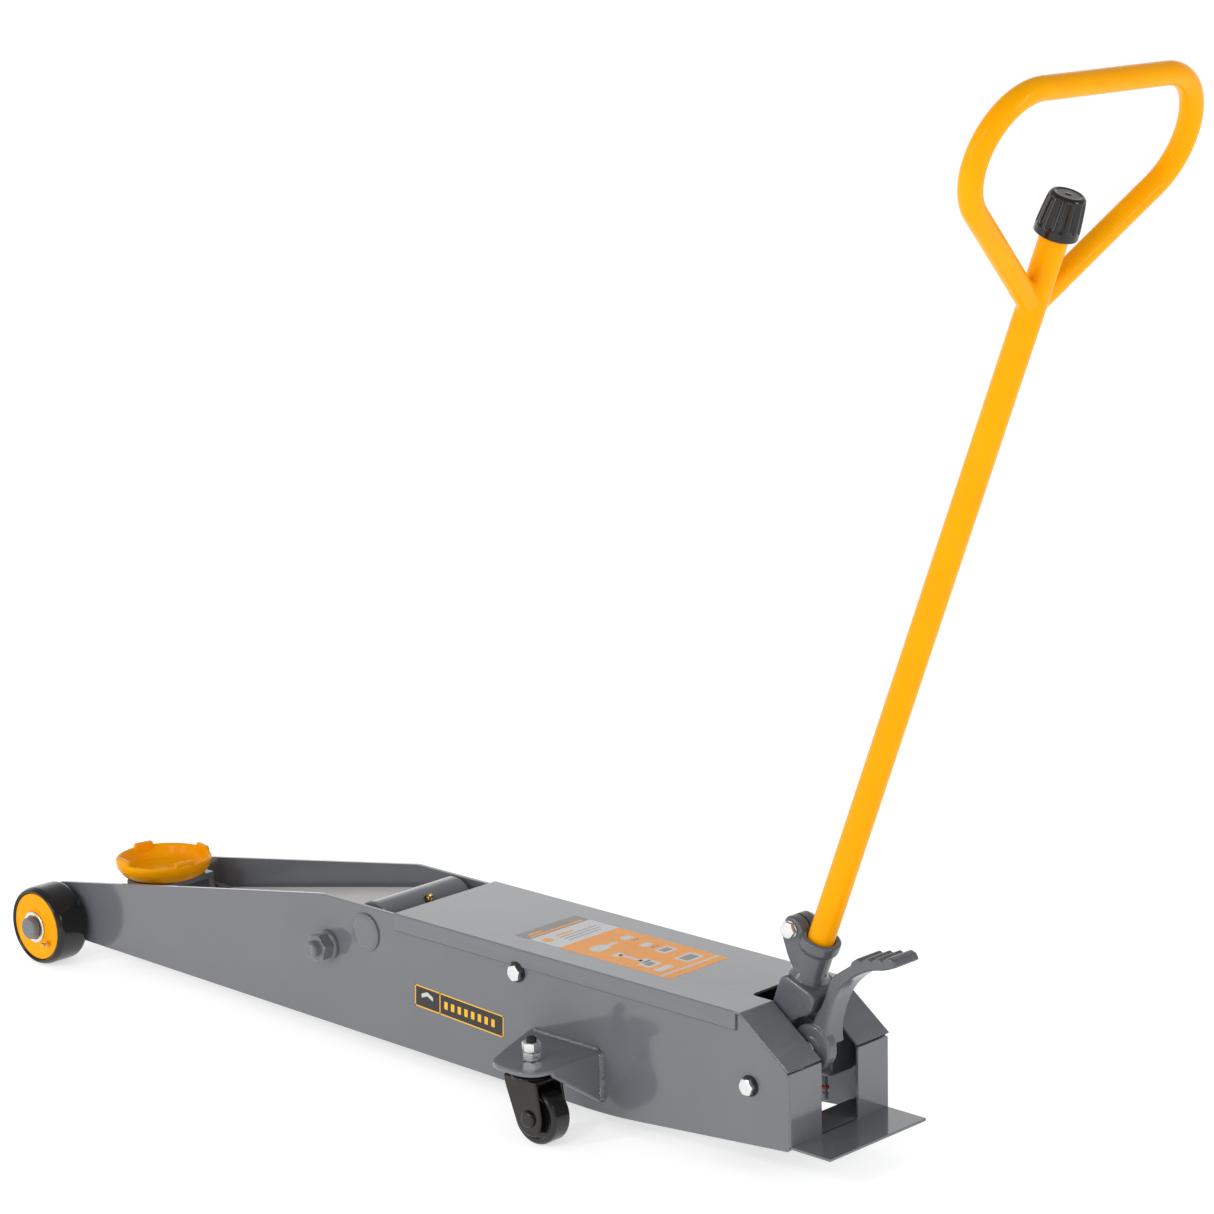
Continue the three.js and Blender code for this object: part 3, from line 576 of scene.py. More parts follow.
def make_screw(name, at, shown):
    out = -BODY_HALF - GAP
    # The washer is dark as painted shade and painted reflection of the side plate round the screw
    # head.
    washer = turned([
        (5.3, out), (11.6, out, 0.5), (11.6, out - 1.4, 0.5), (5.3, out - 1.4),
    ], "Y", spot(at), 96)
    head = hexagon(17, out - 8, out - 1.4, "Y", spot(at), turn=shown, ends=(True, False))
    shank = rod(5, out - 2, out + 24, "Y", spot(at))
    pair(name, "chassis", "zinc_plate", [head, shank], name + "_{}")
    pair(name + "_washer", "chassis", "dark_finish_and_shade", [washer])


def make_fasteners():
    make_screw("front_screw", FRONT_SCREW, 0.32)
    make_screw("rear_screw", REAR_SCREW, 0.1)
    end = BODY_HALF + GAP
    shaft = turned([
        (0, -end - 2.9), (17, -end - 3, 1), (20, -end - 2.4, 1), (21, -end - 1, 0.5), (21, -end),
        (18, -end), (18, end), (21, end), (21, end + 1, 0.5), (20, end + 2.4, 1),
        (17, end + 3, 1), (0, end + 2.9),
    ], "Y", spot(PIVOT), 96)
    rings = [weld_ring(21.2, 1.7, "Y", spot(PIVOT), s * (end + 0.8)) for s in (-1, 1)]
    piece("pivot_shaft", "chassis", "grey_paint", [shaft, *rings], "lift_pivot_shaft")
    stud = turned([
        (0, -110.2), (3, -110.2, 1), (5, -111, 1), (8, -111, 1.4), (10, -108.5, 1),
        (10, 108.5, 1), (8, 111, 1.4), (5, 111, 1), (3, 110.2, 1), (0, 110.2),
    ], "Y", spot(STUD))
    threads = [
        turned([(9.2, s * y), (10, s * (y + 0.5)), (9.2, s * (y + 1))], "Y", spot(STUD), 48, 1)
        for s in (-1, 1) for y in (102, 103.4, 104.8, 106.2)
    ]
    piece("stud", "chassis", "grey_paint", [stud, *threads], "tie_stud")
    nut = hexagon(30, -end - 21, -end - 5, "Y", spot(STUD), turn=0.22)
    flange = turned([
        (10, -end), (18, -end, 0.8), (18, -end - 4, 1.2), (15.5, -end - 6, 1),
        (10, -end - 6),
    ], "Y", spot(STUD))
    pair("stud_nut", "chassis", "grey_paint", [nut, flange], "tie_nut_{}")
    bar = rod(10, -INNER_HALF + GAP, INNER_HALF - GAP, "Y", spot(FRONT_SCREW))
    piece("spacer_bar", "chassis", "bare_steel", [bar], "cross_bar")


# ---------------------------------------------------------------- front wheels
def make_wheels():
    hub = (0, 0, WHEEL_R)
    axle = turned([
        (0, -144.6), (9, -145, 2), (13.2, -144.4, 1.2), (14, -142.6, 1), (14, -137, 0.4),
        (12, -137), (12, 137), (14, 137, 0.4), (14, 142.6, 1), (13.2, 144.4, 1.2),
        (9, 145, 2), (0, 144.6),
    ], "Y", hub)
    piece("axle", "chassis", "grey_paint", [axle], "front_axle")
    spacer = turned([
        (12.3, -73.7), (17, -73.7, 1), (17, 73.7, 1), (12.3, 73.7),
    ], "Y", hub)
    seams = [weld_ring(17.5, 2, "Y", hub, s * 73) for s in (-1, 1)]
    piece("spacer", "chassis", "grey_paint", [spacer, *seams], "axle_spacer")
    tyre = turned([
        (12.3, -86), (12.3, -129), (42.9, -129, 0.8), (43.4, -131.4, 1.2), (45.6, -133, 1.4),
        (47.6, -131.9, 1.6), (WHEEL_R, -126.5, 5), (WHEEL_R, -92, 7), (47.5, -87.2, 3),
        (44, -86, 1), (40, -86), (37, -89, 1), (20, -89, 1), (18, -86, 0.5),
    ], "Y", hub, 128)
    pair("wheel", "wheel_{}", "black_nylon", [tyre], "front_wheel_{}")
    disc = turned([
        (12.3, -128.7), (12.3, -133.2), (21.4, -133.2, 1), (23.5, -131.2, 2),
        (33, -131.4, 6), (39.6, -130.4, 3), (41.4, -131.4, 0.6), (42.5, -130.9, 0.5),
        (42.5, -128.7),
    ], "Y", hub, 128)
    pair("disc", "wheel_{}", "orange_paint", [disc], "wheel_disc_{}")
    washer = turned([
        (15.2, -133.6), (19.4, -133.6, 0.5), (20, -134.4, 0.6), (20, -135.4, 0.6),
        (18.8, -136.1, 0.6), (15.6, -136.1, 0.5),
    ], "Y", hub, 96)
    pair("washer", "chassis", "zinc_plate", [washer], "wheel_washer_{}")
    angle = math.radians(-35)
    at = (30 * math.cos(angle), -WHEEL_OUT - 0.5, WHEEL_R + 30 * math.sin(angle))
    pair("wheel_fitting", "wheel_{}", "brass", [nipple(at, Matrix.Rotation(math.pi / 2, 4, "X"))],
         "wheel_nipple_{}")


def nipple(at, turn):
    """A grease nipple: hexagon, cone, ball head."""
    foot = hexagon(7, 0, 3, "Z", ends=(False, True))
    head = turned([
        (0, 2.5), (2.6, 2.5, 0.3), (1.9, 4.6, 0.8), (2.0, 6, 0.6), (3, 7, 0.9), (2.8, 8.2, 0.9),
        (1.3, 10, 0.5), (0, 10),
    ], "Z", sides=40)
    return moved(merged([foot, head]), Matrix.Translation(at) @ turn)


# ---------------------------------------------------------------- lift arm and saddle
def arm_top(x):
    """The height of the arm's sloping deck at x."""
    return 115.3 + 0.2 * (x - 292)


def make_arm():
    front, rear, thick = 160, 552, 7
    deck = plate([
        (front, arm_top(front)), (rear, arm_top(rear)),
        (rear, arm_top(rear) - thick), (front, arm_top(front) - thick),
    ], -ARM_HALF, ARM_HALF, rim=2.4)
    web = plate([
        (110, 70, 12), (116, 90, 8), (170, arm_top(170) - 1, 3), (548, arm_top(548) - 1),
        (PIVOT[0] + 20, PIVOT[1]), (532, 134, 6), (486, 134, 12), (425, 108, 20), (140, 49, 12),
    ], -ARM_HALF, -54, rim=1.4, steps=12)
    lug = plate([
        (PIVOT[0] - 26, PIVOT[1] + 4), (RAM_PIN[0] - 17, RAM_PIN[1] + 6, 10),
        (RAM_PIN[0] - 13, RAM_PIN[1] - 18, 12), (RAM_PIN[0] + 18, RAM_PIN[1] - 18, 14),
        (RAM_PIN[0] + 20, RAM_PIN[1] + 10, 10), (PIVOT[0] + 28, PIVOT[1] + 4),
    ], -30, -20, rim=1)
    lug = cut(lug, rod(10.3, -34, -16, "Y", spot(RAM_PIN), rim=0))
    tube = turned([
        (18.4, -66), (31.6, -66, 0.8), (33.5, -64.6, 0.9), (33.5, 64.6, 0.9), (31.6, 66, 0.8),
        (18.4, 66),
    ], "Y", spot(PIVOT), 128)
    seam_x = 537.5
    seams = [
        weld([(seam_x, -58, arm_top(seam_x) + 0.4), (seam_x, 58, arm_top(seam_x) + 0.4)], 2.6),
        *(weld([(160, y, arm_top(160) - 8), (530, y, arm_top(530) - 8)], 2) for y in (-53, 53)),
    ]
    # The deck's pale finish is painted light on its upper face.
    piece("arm_deck", "arm", "lit_deck_grey", [deck])
    piece("arm", "arm", "grey_paint",
          [web, mirrored(web), lug, mirrored(lug), tube, *seams], "lift_arm")
    angle = math.radians(48)
    reach = 33.9
    at = (PIVOT[0] + reach * math.cos(angle), 0, PIVOT[1] + reach * math.sin(angle))
    turn = Matrix.Rotation(math.pi / 2 - angle, 4, "Y")
    collar = moved(turned([
        (0, -0.3), (6.2, -0.3, 0.4), (5.4, 1.6, 0.6), (0, 1.6),
    ], "Z", sides=40), Matrix.Translation(at) @ turn)
    piece("arm_fitting_collar", "arm", "dark_finish_and_shade", [collar])
    piece("arm_fitting", "arm", "brass", [nipple(at, turn)], "arm_nipple")
    piece("arm_pin", "arm", "bare_steel", [rod(8, -66, 66, "Y", spot(ARM_END))], "arm_end_pin")
    piece("ram_joint_pin", "arm", "bare_steel", [rod(10, -33, 33, "Y", spot(RAM_PIN))], "ram_pin")


def make_cradle():
    x, base = SADDLE_X, CRADLE_TOP
    head = plate([
        (x - 40, -24, 2), (x - 15, -49, 2), (x + 40, -49, 2),
        (x + 40, 49, 2), (x - 15, 49, 2), (x - 40, 24, 2),
    ], base - 8, base - GAP, "Z", rim=1.2)
    cheek = plate([
        (x - 14, base - 7), (CRADLE_PIN[0] - 15, CRADLE_PIN[1] + 2, 8),
        (CRADLE_PIN[0] - 2, CRADLE_PIN[1] - 15, 9), (ARM_END[0] + 4, ARM_END[1] - 17, 9),
        (ARM_END[0] + 17, ARM_END[1] + 2, 9), (x + 38, base - 7),
    ], -48, -40, rim=1.2)
    seam = weld([(x - 13, -39.6, base - 8.2), (x + 36, -39.6, base - 8.2)], 2.2)
    piece("cradle", "cradle", "grey_paint",
          [head, cheek, mirrored(cheek), seam, mirrored(seam)], "saddle_cradle")
    piece("cradle_pin", "cradle", "bare_steel", [rod(7, -51, 51, "Y", spot(CRADLE_PIN))],
          "levelling_pin")


def make_saddle():
    x, base = SADDLE_X, CRADLE_TOP
    dish = turned([
        (0, base - 14), (15, base - 14, 1), (15, base), (46, base, 3), (53, base + 3.5, 6),
        (59, base + 12, 5), (61, base + 19, 4), (60.6, base + 23, 1.4), (58, base + 24, 1.4),
        (55.6, base + 22.2, 1.4), (50.5, base + 10.5, 5), (45, base + 7.6, 3), (37, base + 7, 1),
        (36, base + 6.4, 0.6), (8, base + 6.4, 0.5), (7, base + 7), (0, base + 7),
    ], "Z", (x, 0, 0), 144, 6)
    lugs = []
    for k in range(4):
        lug = plate([(-15, 122, 1), (15, 122, 1), (12.5, 138, 2.6), (-12.5, 138, 2.6)],
                    52.4, 59.4, "X", rim=2)
        turn = Matrix.Rotation(math.radians(-12 + 90 * k), 4, "Z")
        lugs.append(moved(lug, Matrix.Translation((x, 0, 0)) @ turn))
    body = cast([dish, *lugs], 0.8, 5)
    piece("saddle_dish", "saddle_head", "orange_paint", [body], "saddle", sharp=60)


def make_link():
    a, b = Vector(spot(CRADLE_PIN)), Vector(spot(STUD))
    along = (b - a).normalized()
    shaft = swept(between([a + along * 8, b - along * 10], 6), 8, 40)
    eyes = [
        turned([(10.4, -12), (16, -12, 1.4), (16, 12, 1.4), (10.4, 12)], "Y", spot(STUD)),
        turned([(7.4, -12), (13, -12, 1.4), (13, 12, 1.4), (7.4, 12)], "Y", spot(CRADLE_PIN)),
    ]
    piece("link_rod", "link", "bare_steel", [shaft, *eyes], "levelling_rod")


# ---------------------------------------------------------------- hydraulics
def make_hydraulics():
    block = plate([
        (940, -62, 8), (1096, -62, 2), (1096, 62, 2), (940, 62, 8),
    ], 38, 130, "Z", rim=4)
    ear = plate([
        (1086, 84), (1186, 84, 8), (1186, 136, 8), (1160, 150, 8), (1086, 130),
    ], -INNER_HALF + GAP, -32, rim=3)
    plug_spots = [(x, y, 0) for x in (975, 1060) for y in (-36, 36)]
    bosses = [rod(9, 128, 132.5, "Z", at) for at in plug_spots]
    body = cast([block, ear, mirrored(ear), *bosses], 2.0, 4)
    body = cut(body, rod(7.3, 1046, 1106, "X", (0, 0, PLUNGER_Z), rim=0))
    piece("pump_body", "chassis", "cast_grey", [body], "pump_block", sharp=60)
    plugs = [hexagon(13, 132, 136.5, "Z", at) for at in plug_spots]
    piece("valve_plugs", "chassis", "zinc_plate", plugs)
    cylinder = moved(turned([
        (0, 182), (18.3, 182), (18.3, 0), (34, 0, 2), (38, 3, 2), (38, 22, 0.6),
        (36.6, 23, 0.6), (36.6, 190, 0.6), (38, 191, 0.6), (38, 209.7, 1), (0, 209.7),
    ], "X", sides=96), Matrix.Translation((730, 0, RAM_Z)))
    seam = weld_ring(37.5, 2.6, "X", (0, 0, RAM_Z), 939)
    piece("cylinder", "chassis", "grey_paint", [cylinder, seam], "ram_cylinder")
    yoke = plate([(585, 51, 8), (630, 51, 4), (630, 99, 4), (585, 99, 8)], -18, 18, rim=1.6)
    yoke = cut(yoke, plate([
        (RAM_PIN[0] - 11.6, 57, 10), (RAM_PIN[0] + 11.6, 57, 10),
        (RAM_PIN[0] + 11.6, 93, 10), (RAM_PIN[0] - 11.6, 93, 10),
    ], -30, 30, rim=0))
    ram = rod(18, 625, 900, "X", (0, 0, RAM_Z), sides=96)
    piece("piston_rod", "piston", "bare_steel", [yoke, ram], "ram_piston")
    at = (0, 0, PLUNGER_Z)
    plunger = [rod(7, 1068, 1126, "X", at), rod(12, 1124, 1131, "X", at)]
    piece("plunger_rod", "plunger", "bare_steel", plunger, "pump_plunger")
    piece("socket_pivot", "chassis", "bare_steel", [rod(8, -57, 57, "Y", spot(SOCKET))],
          "socket_pin")


# ---------------------------------------------------------------- rear casters
def make_casters():
    x, y, top = CASTER_X, CASTER_Y, SHELF_TOP
    inner = -BODY_HALF - GAP
    shelf = plate([
        (x - 73, inner), (x - 46, -y, 20), (x - 29, -y - 38, 30),
        (x + 40, -y - 38, 38), (x + 40, inner),
    ], top - 6, top, "Z", rim=1.6, steps=18)
    gusset = plate([
        (inner, 30, 2), (inner, top - 0.6, 2), (-y - 8, top - 0.6, 4), (-y - 8, top - 10, 4),
    ], x + 34, x + 40, "X", rim=2.2, steps=10)
    seams = [
        weld([(x - 66, inner - 0.2, top), (x + 36, inner - 0.2, top)], 3.2),
        weld([(x + 37, inner + 1.2, top - 1), (x + 37, inner + 1.2, 34)], 6.4),
        weld([(x + 33.6, inner - 0.6, top - 8), (x + 33.6, inner - 0.6, 34)], 2.6),
        weld([(x + 33.8, inner - 6, top - 6.4), (x + 33.8, -y - 2, top - 6.4)], 2.2),
    ]
    sheet = cast([shelf, gusset], 0.9, 8)
    pair("bracket", "chassis", "grey_paint", [sheet, *seams], "caster_bracket_{}")
    at = (x, -y, 0)
    pair("stem_head", "chassis", "bare_steel", [hexagon(19, 65, 70.7, "Z", at)])
    threads = [
        turned([(5.3, h), (6, h + 0.6), (5.3, h + 1.2)], "Z", at, 48, 1)
        for h in (113.2, 114.6, 116)
    ]
    stem = turned([
        (0, 68), (5.9, 68), (5.9, 116.6, 0.8), (4.6, 118.6, 1.4), (2, 119, 1), (0, 119),
    ], "Z", at)
    pair("stem", "chassis", "dark_finish_and_shade", [stem, *threads], "caster_stem_{}")
    pair("nut", "chassis", "zinc_plate", [hexagon(19, top + GAP, top + 10, "Z", at, 0.35)],
         "caster_nut_{}")
    pair("lock_nut", "chassis", "zinc_plate", [hexagon(19, top + 10.3, top + 21, "Z", at, 0.52)],
         "caster_lock_nut_{}")
    make_forks()


def make_forks():
    x, y = CASTER_X, CASTER_Y
    hub_x, hub_z = x + CASTER_TRAIL, CASTER_R
    leg = plate([
        (x - 25, 76, 3), (x - 22, 64, 6), (hub_x - 20, 24, 14), (hub_x - 8, 12, 12),
        (hub_x + 12, 12, 14), (hub_x + 19, 30, 12), (x + 26, 72, 6), (x + 25, 76, 3),
    ], -y - 21, -y - 17, rim=1.3, steps=12)
    crown = plate([
        (x - 25, -y - 21, 5), (x + 25, -y - 21, 5), (x + 25, -y + 21, 5), (x - 25, -y + 21, 5),
    ], 71.5, 76, "Z", rim=1.8)
    race = turned([
        (6.4, 74), (24, 74), (24, 76.6, 1.6), (21, 78.4, 1.6), (21, 84.4, 1), (19, 85.6, 1),
        (6.4, 85.6),
    ], "Z", (x, -y, 0), 96)
    body = cast([leg, moved(leg, Matrix.Translation((0, 38, 0))), crown], 0.9, 4)
    hub = (hub_x, 0, hub_z)
    body = cut(body, rod(5.3, -y - 30, -y + 30, "Y", hub, rim=0))
    pair("fork", "fork_{}", "black_paint", [body, race], "caster_fork_{}")
    out = 21.3
    bolt = [
        rod(5, -y - out - 1, -y + out + 1, "Y", hub),
        turned([(0, -y - out - 4), (7.6, -y - out - 4, 1), (9.4, -y - out - 2.6, 1),
                (10, -y - out, 0.3), (0, -y - out)], "Y", hub),
        hexagon(16, -y + out, -y + out + 4, "Y", hub),
    ]
    pair("axle_bolt", "fork_{}", "black_paint", bolt, "caster_axle_{}")
    roller = turned([
        (5.35, -14.5), (9.6, -14.5, 1), (10.4, -13, 1), (13, -12, 2), (23.5, -11.6, 2),
        (25.4, -13.2, 1.2), (29, -13.8, 1.6), (CASTER_R, -10.6, 3), (CASTER_R, 10.6, 3),
        (29, 13.8, 1.6), (25.4, 13.2, 1.2), (23.5, 11.6, 2), (13, 12, 2), (10.4, 13, 1),
        (9.6, 14.5, 1), (5.35, 14.5),
    ], "Y", (hub_x, -y, hub_z), 112)
    pair("roller", "caster_roller_{}", "black_nylon", [roller], "caster_wheel_{}")


# ---------------------------------------------------------------- handle
def make_socket():
    hub = Vector((PEDAL_HUB[0] - SOCKET[0], 0, PEDAL_HUB[1] - SOCKET[1]))
    hub = Matrix.Rotation(-HANDLE_TILT, 3, "Y") @ hub
    hx, hz = hub.x, hub.z
    block = plate([
        (-18, -4, 3), (-18, 82, 5), (-12, 88, 5), (26, 88, 6), (32, 84, 6), (32, 64, 6),
        (13, 46, 8), (13, 0, 3),
    ], -26, 26, rim=3)
    barrel = rod(16.5, -26, 26, "Y")
    lobe = plate([(-10, 2), (10, 2), (8, -32, 7), (-8, -32, 7)], -12, 12, rim=2)
    tongue = plate([
        (4, 50, 2), (4, 20, 2), (hx, hz - 17, 12), (hx + 16, hz + 2, 12), (hx - 2, hz + 17, 8),
    ], -8, 8, rim=1.5)
    ear = plate([
        (-4, 88, 3), (-22, 98, 10), (-43, 122, 12), (-42, 145, 12), (-22, 146, 10), (-2, 120),
    ], -15, 15, rim=2.4)
    neck = rod(18.5, 80, 128, "Z")
    shoulder = turned([
        (0, 84), (24, 84, 4), (18.5, 96, 6), (18.5, 98), (0, 98),
    ], "Z")
    collar = turned([
        (0, 121), (18.8, 121, 1), (22.5, 125.5, 2), (22.5, 136.4, 1), (21.2, 137.5, 0.8),
        (16.6, 137.5, 0.6), (15.6, 136, 0.4), (15.6, 130), (0, 130),
    ], "Z")
    body = cast([block, barrel, lobe, tongue, ear, neck, shoulder, collar], 0.9, 5)
    slit = plate([(-60, 98), (-12, 98), (-12, 160), (-60, 160)], -1.5, 1.5, rim=0)
    body = cut(body, slit)
    piece("socket", "handle", "cast_grey", [body], "handle_socket", place=HANDLE, sharp=60)
    at = (-31, 0, 132)
    bolt = [
        rod(5, -17, 20, "Y", at),
        hexagon(17, -22, -15.3, "Y", at, 0.3, ends=(True, False)),
        turned([(0, -15.2), (9.6, -15.2, 0.5), (9.6, -16.4, 0.5), (0, -16.4)], "Y", at),
        hexagon(17, 15.3, 23, "Y", at, 0.1),
    ]
    piece("clamp_screw", "handle", "zinc_plate", bolt, "clamp_bolt", place=HANDLE)


def make_grip():
    tube = turned([
        (11.5, 60), (TUBE_OUT, 60), (TUBE_OUT, TUBE_TOP, 1), (11.5, TUBE_TOP),
    ], "Z", sides=96)
    piece("pipe", "handle", "orange_paint", [tube], "handle_tube", place=HANDLE)
    start, top, bend, centre, radius = 887, 1123.6, 69, 97, 12.1
    slope = math.atan(0.8)
    cz = top - bend
    foot = Vector((0, 2, start + 1.6))
    first = slope - math.pi / 2
    arc = [
        Vector((0, centre + bend * math.cos(t), cz + bend * math.sin(t)))
        for t in (first + (math.pi / 2 - first) * k / 40 for k in range(41))
    ]
    half = between([foot, arc[0]], 8)[:-1] + arc
    across = between([arc[-1], Vector((0, -centre, top))], 10)[1:-1]
    loop = half + across + [Vector((0, -p.y, p.z)) for p in reversed(half)]
    piece("grip", "handle", "orange_paint", [swept(loop, radius, 56)], "grip_loop",
          place=HANDLE)
    legs = [
        swept([(0, 0, start), (0, s * 34, start + 34 * math.tan(slope))], radius + 0.15, 48)
        for s in (1, -1)
    ]
    crotch = cast([*legs, rod(TUBE_OUT + 0.15, start - 32, start + 52, "Z", rim=0)], 0.8, 36)
    piece("grip_joint", "handle", "orange_paint", [crotch], place=HANDLE, sharp=75)
    low = TUBE_TOP + GAP

    def flutes(angle, h):
        fade = min(1, max(0, (h - 972) / 3)) * min(1, max(0, (1004.5 - h) / 3))
        return -2.6 * fade * (0.5 - 0.5 * math.cos(12 * angle)) ** 1.3

    knob = turned([
        (0, low), (19, low, 0.6), (21.6, 963.6, 0.6), (22.3, 964.4, 0.4), (22.3, 972, 0.6),
        (22.2, 974), (22.1, 976), (21.7, 980), (21.1, 986), (20.4, 992), (19.6, 998),
        (19.1, 1001), (18.6, 1004, 1.2), (16.4, 1006.7, 1.6), (13.6, 1007, 0.8), (12, 1006.2, 0.8),
        (4, 1006.2, 0.6), (3, 1006.8), (0, 1006.8),
    ], "Z", sides=192, wobble=flutes)
    piece("knob", "release", "black_nylon", [knob], "release_knob", place=HANDLE, sharp=50)
    piece("knob_rod", "release", "bare_steel", [rod(5, 14, TUBE_TOP + 12, "Z")],
          "release_rod", place=HANDLE)


def make_pedal():
    ridges = []
    for k in range(4):
        x, z = 1258 + 14 * k, 245 + 3.2 * k
        ridges += [(x, z, 1), (x + 9, z + 6.5, 1.5)]
    lever = plate([
        (1196, 150, 3), (1209, 176, 3), (1216, 187), (1222, 199, 6), (1230, 222, 10),
        (1244, 232, 8), (1257, 241), *ridges, (1316, 259, 2), (1320, 252, 2), (1304, 245, 8),
        (1284, 241, 10), (1262, 230, 14), (1246, 216, 14), (1236, 202, 14), (1228, 180, 12),
        (1224, 160, 12), (1226, 136, 8), (1206, 132),
    ], -20, 20, rim=2.6, steps=10)
    cheek = turned([
        (6.4, -24), (12, -24, 0.6), (13, -23, 0.6), (24, -23, 1), (26, -21.4, 1.6),
        (26, -9), (6.4, -9),
    ], "Y", spot(PEDAL_HUB), 96)
    waist = plate([
        (1170, 5.5), (1222, 5.5, 30), (1264, 20.5, 20), (1264, 40), (1170, 40),
    ], 100, 270, "Z", rim=0)
    body = cast([cut(lever, waist), cheek], 0.9, 5)
    body = cut(
        body,
        rod(22, -8.6, 8.6, "Y", spot(PEDAL_HUB), rim=0),
        plate([(1150, 110), (1186, 190), (1206, 182), (1200, 120)], -8.6, 8.6, rim=0),
    )
    piece("pedal", "pedal", "cast_grey", [body], "foot_pedal", sharp=60)
    pin = [
        rod(6, -25, 13, "Y", spot(PEDAL_HUB)),
        turned([(0, -28), (7, -28, 1), (8, -26.6, 1), (8, -24.3), (0, -24.3)], "Y",
               spot(PEDAL_HUB)),
    ]
    piece("pedal_pivot", "handle", "bare_steel", pin, "pedal_pin")


# ---------------------------------------------------------------- printed labels
def panel(name, surface, shapes, low, thick, place=None):
    """Flat printed shapes that lie on a surface, thick above low."""
    parts = [plate(points, low, low + thick, "Z", rim=0, steps=3) for points in shapes]
    return piece(name, "chassis", surface, parts, place=place)


def rectangle(x0, x1, y0, y1, corner=0.0):
    return [(x, y, corner) for x, y in ((x0, y0), (x1, y0), (x1, y1), (x0, y1))]


def make_side_labels():
    """A dark plate with a yellow line round it, a divider and plain bars, on both sides."""
    length, height, line = 146, 26.3, 1.5
    for side, sign in SIDES.items():
        turn = Matrix.Rotation(math.pi / 2, 4, "X")
        if sign > 0:
            turn = Matrix.Rotation(math.pi, 4, "Z") @ turn
        tilt = Matrix.Rotation(math.radians(2.6), 4, "Y")
        place = Matrix.Translation((723, sign * BODY_HALF, 87.2)) @ tilt @ turn
        a, b = length / 2, height / 2
        panel(f"label_ground_{side}", "print_black", [rectangle(-a, a, -b, b, 3)], 0, 0.12, place)
        lines = [
            rectangle(-a, a, b - line, b, 0.5), rectangle(-a, a, -b, line - b, 0.5),
            rectangle(-a, line - a, -b, b, 0.5), rectangle(a - line, a, -b, b, 0.5),
            rectangle(-32, -32 + line, -b, b),
        ]
        bars = [rectangle(x, x + 5.5, -4.6, 4.6, 0.8) for x in range(-24, 62, 11)]
        panel(f"label_lines_{side}", "print_yellow", lines + bars, 0.12, 0.06, place)
        mark = [[(-62, 4), (-52.5, 8), (-43, 4), (-43, -1), (-52.5, 3), (-62, -1)]]
        panel(f"label_mark_{side}", "print_white", mark, 0.12, 0.06, place)


def make_cover_label():
    """A plain chart: grey header, white band, orange field with simple shapes."""
    z = DECK_Z + GAP + SHEET
    thick, ink = 0.1, 0.05
    panel("chart_header", "print_grey", [rectangle(787, 811, -49, 47)], z, thick)
    panel("chart_band", "print_white", [rectangle(811, 857, -49, 47)], z, thick)
    panel("chart_field", "print_orange", [rectangle(857, 1026, -49, 47)], z, thick)
    top = z + thick
    whites = [
        rectangle(1010, 1013.5, -49, 47),
        rectangle(884, 902, -34, -8, 8), rectangle(890, 896, -8, 6, 2),
        rectangle(884, 896, 18, 34, 5), rectangle(918, 930, 14, 30, 5),
        rectangle(926, 960, -26, -21, 1), rectangle(920, 930, -32, -18, 3),
        rectangle(956, 966, -28, -14, 3), rectangle(944, 962, 12, 34, 1),
        rectangle(980, 1002, 6, 34, 1), rectangle(964, 982, -36, -14, 1),
        rectangle(990, 1001, -38, -14, 1),
    ]
    panel("chart_shapes", "print_white", whites, top, ink)
    greys = [
        rectangle(948, 958, 16, 30, 1), rectangle(984, 998, 10, 30, 1),
        rectangle(968, 978, -31, -19, 1), rectangle(900, 903, 22, 33, 1),
        rectangle(934, 937, 17, 30, 1), rectangle(831, 832.5, -22, 36),
        rectangle(838, 839.5, -22, 36), rectangle(845, 846.5, -22, 30),
    ]
    panel("chart_greys", "print_grey", greys, top + 0.02, ink)
    oranges = [
        rectangle(822, 834, -44, -32, 5), rectangle(822, 826, -22, 6, 1),
        rectangle(797, 801, -40, -18, 1), rectangle(804, 808, -44, 40, 1),
    ]
    panel("chart_marks", "print_orange", oranges, top, ink)


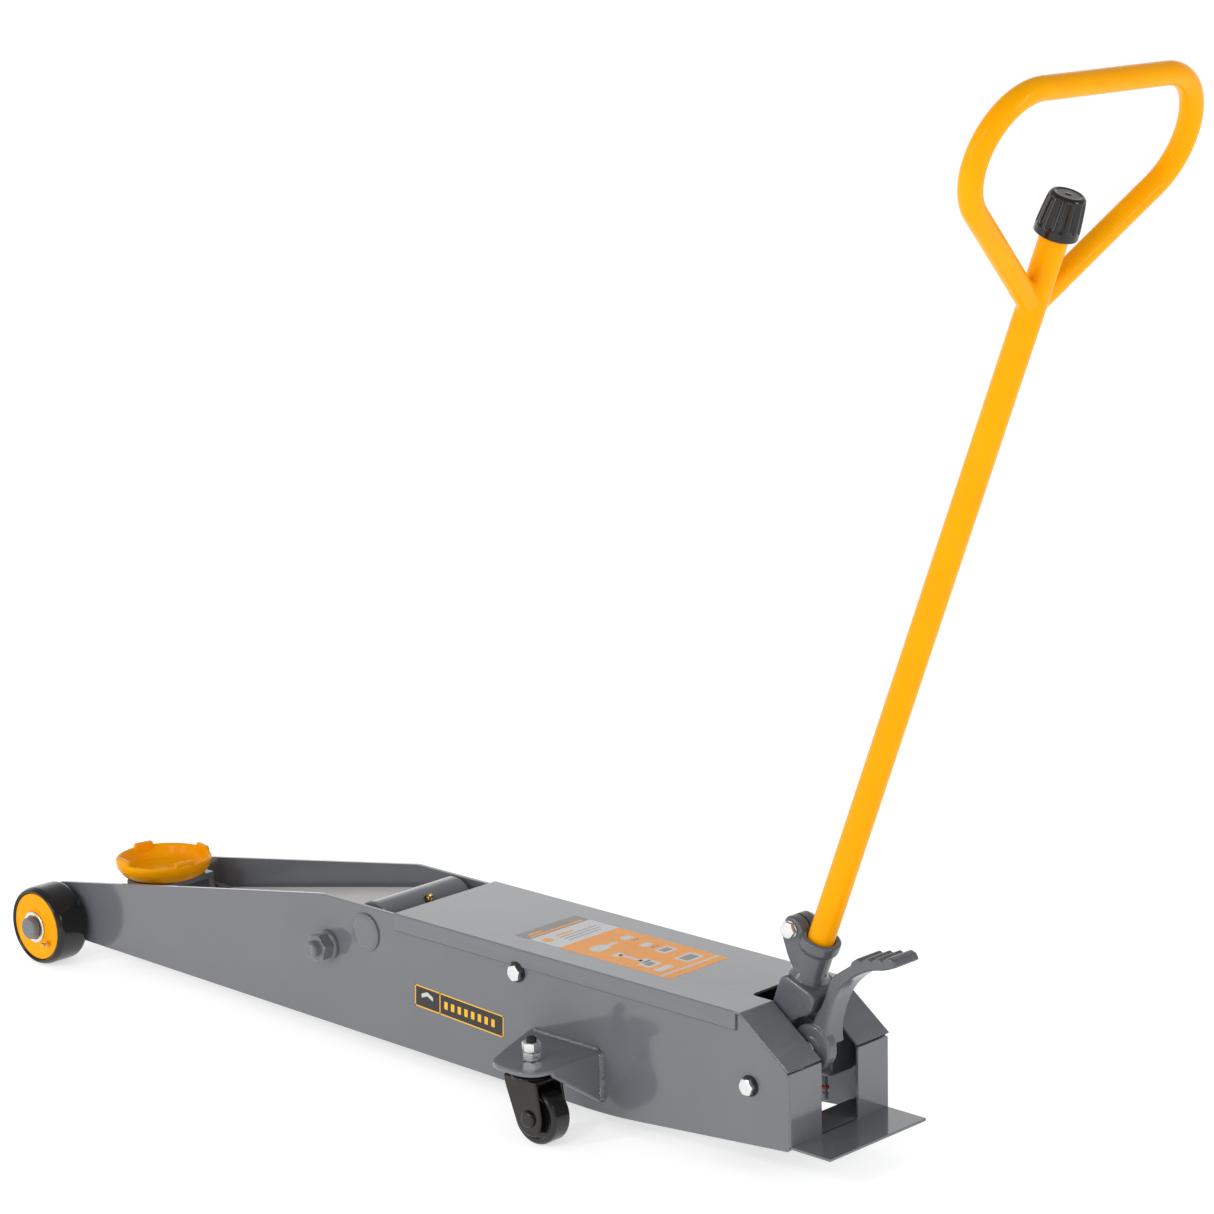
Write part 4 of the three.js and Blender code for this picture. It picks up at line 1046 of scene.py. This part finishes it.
# ---------------------------------------------------------------- floor and light
def make_studio():
    mesh = bpy.data.meshes.new("floor")
    reach = 60
    corners = [(x * reach, y * reach, 0) for x, y in ((-1, -1), (1, -1), (1, 1), (-1, 1))]
    mesh.from_pydata(corners, [], [(0, 1, 2, 3)])
    floor = bpy.data.objects.new("floor", mesh)
    bpy.context.collection.objects.link(floor)
    ground = bpy.data.materials.new("studio_floor")
    ground.use_nodes = True
    shader = ground.node_tree.nodes["Principled BSDF"]
    shader.inputs["Base Color"].default_value = (0.80, 0.80, 0.80, 1)
    shader.inputs["Roughness"].default_value = 0.9
    shader.inputs["Specular IOR Level"].default_value = 0.1
    shader.inputs["Emission Color"].default_value = (1, 1, 1, 1)
    shader.inputs["Emission Strength"].default_value = 0.62
    mesh.materials.append(ground)

    # The room is white near the horizon and darker overhead. It is dimmer towards the far
    # right and brighter behind the jack, as the camera sees it.
    world = bpy.data.worlds.new("studio")
    world.use_nodes = True
    tree = world.node_tree
    toward = tree.nodes.new("ShaderNodeTexCoord").outputs["Generated"]
    split = tree.nodes.new("ShaderNodeSeparateXYZ")
    tree.links.new(toward, split.inputs[0])
    height = ramp(tree, split.outputs["Z"], 0.25, 0.62, 1.0, 0.42)
    side = node(tree, "ShaderNodeVectorMath")
    side.operation = "DOT_PRODUCT"
    side.inputs[1].default_value = (0.8, 0.6, 0)
    tree.links.new(toward, side.inputs[0])
    shade = ramp(tree, side.outputs["Value"], 0.3, 0.9, 1.0, 0.55)
    rear = node(tree, "ShaderNodeVectorMath")
    rear.operation = "DOT_PRODUCT"
    rear.inputs[1].default_value = (-0.707, 0.707, 0)
    tree.links.new(toward, rear.inputs[0])
    glow = ramp(tree, rear.outputs["Value"], 0.5, 0.88, 1.0, 1.4)
    strength = height
    for factor in (shade, glow):
        product = tree.nodes.new("ShaderNodeMath")
        product.operation = "MULTIPLY"
        tree.links.new(strength, product.inputs[0])
        tree.links.new(factor, product.inputs[1])
        strength = product.outputs[0]
    tree.links.new(strength, tree.nodes["Background"].inputs["Strength"])
    tree.nodes["Background"].inputs["Color"].default_value = (1, 1, 1, 1)
    bpy.context.scene.world = world

    def softbox(name, at, aim, size, energy):
        data = bpy.data.lights.new(name, "AREA")
        data.shape = "RECTANGLE"
        data.size, data.size_y = size
        data.energy = energy
        light = bpy.data.objects.new(name, data)
        light.location = at
        light.rotation_euler = (Vector(aim) - Vector(at)).to_track_quat("-Z", "Y").to_euler()
        bpy.context.collection.objects.link(light)

    softbox("left_strip", (-1.0, -3.2, 1.5), (0.1, 0, 0.5), (0.35, 1.6), 20)
    softbox("front_box", (1.0, -3.4, 2.6), (0.7, 0, 0.5), (0.55, 0.7), 20)
    softbox("right_strip", (3.4, 0.9, 1.5), (0.3, 0, 0.6), (0.25, 1.6), 18)


make_side_plates()
make_cover()
make_rear()
make_fasteners()
make_wheels()
make_arm()
make_cradle()
make_saddle()
make_link()
make_hydraulics()
make_casters()
make_socket()
make_grip()
make_pedal()
make_side_labels()
make_cover_label()
make_studio()
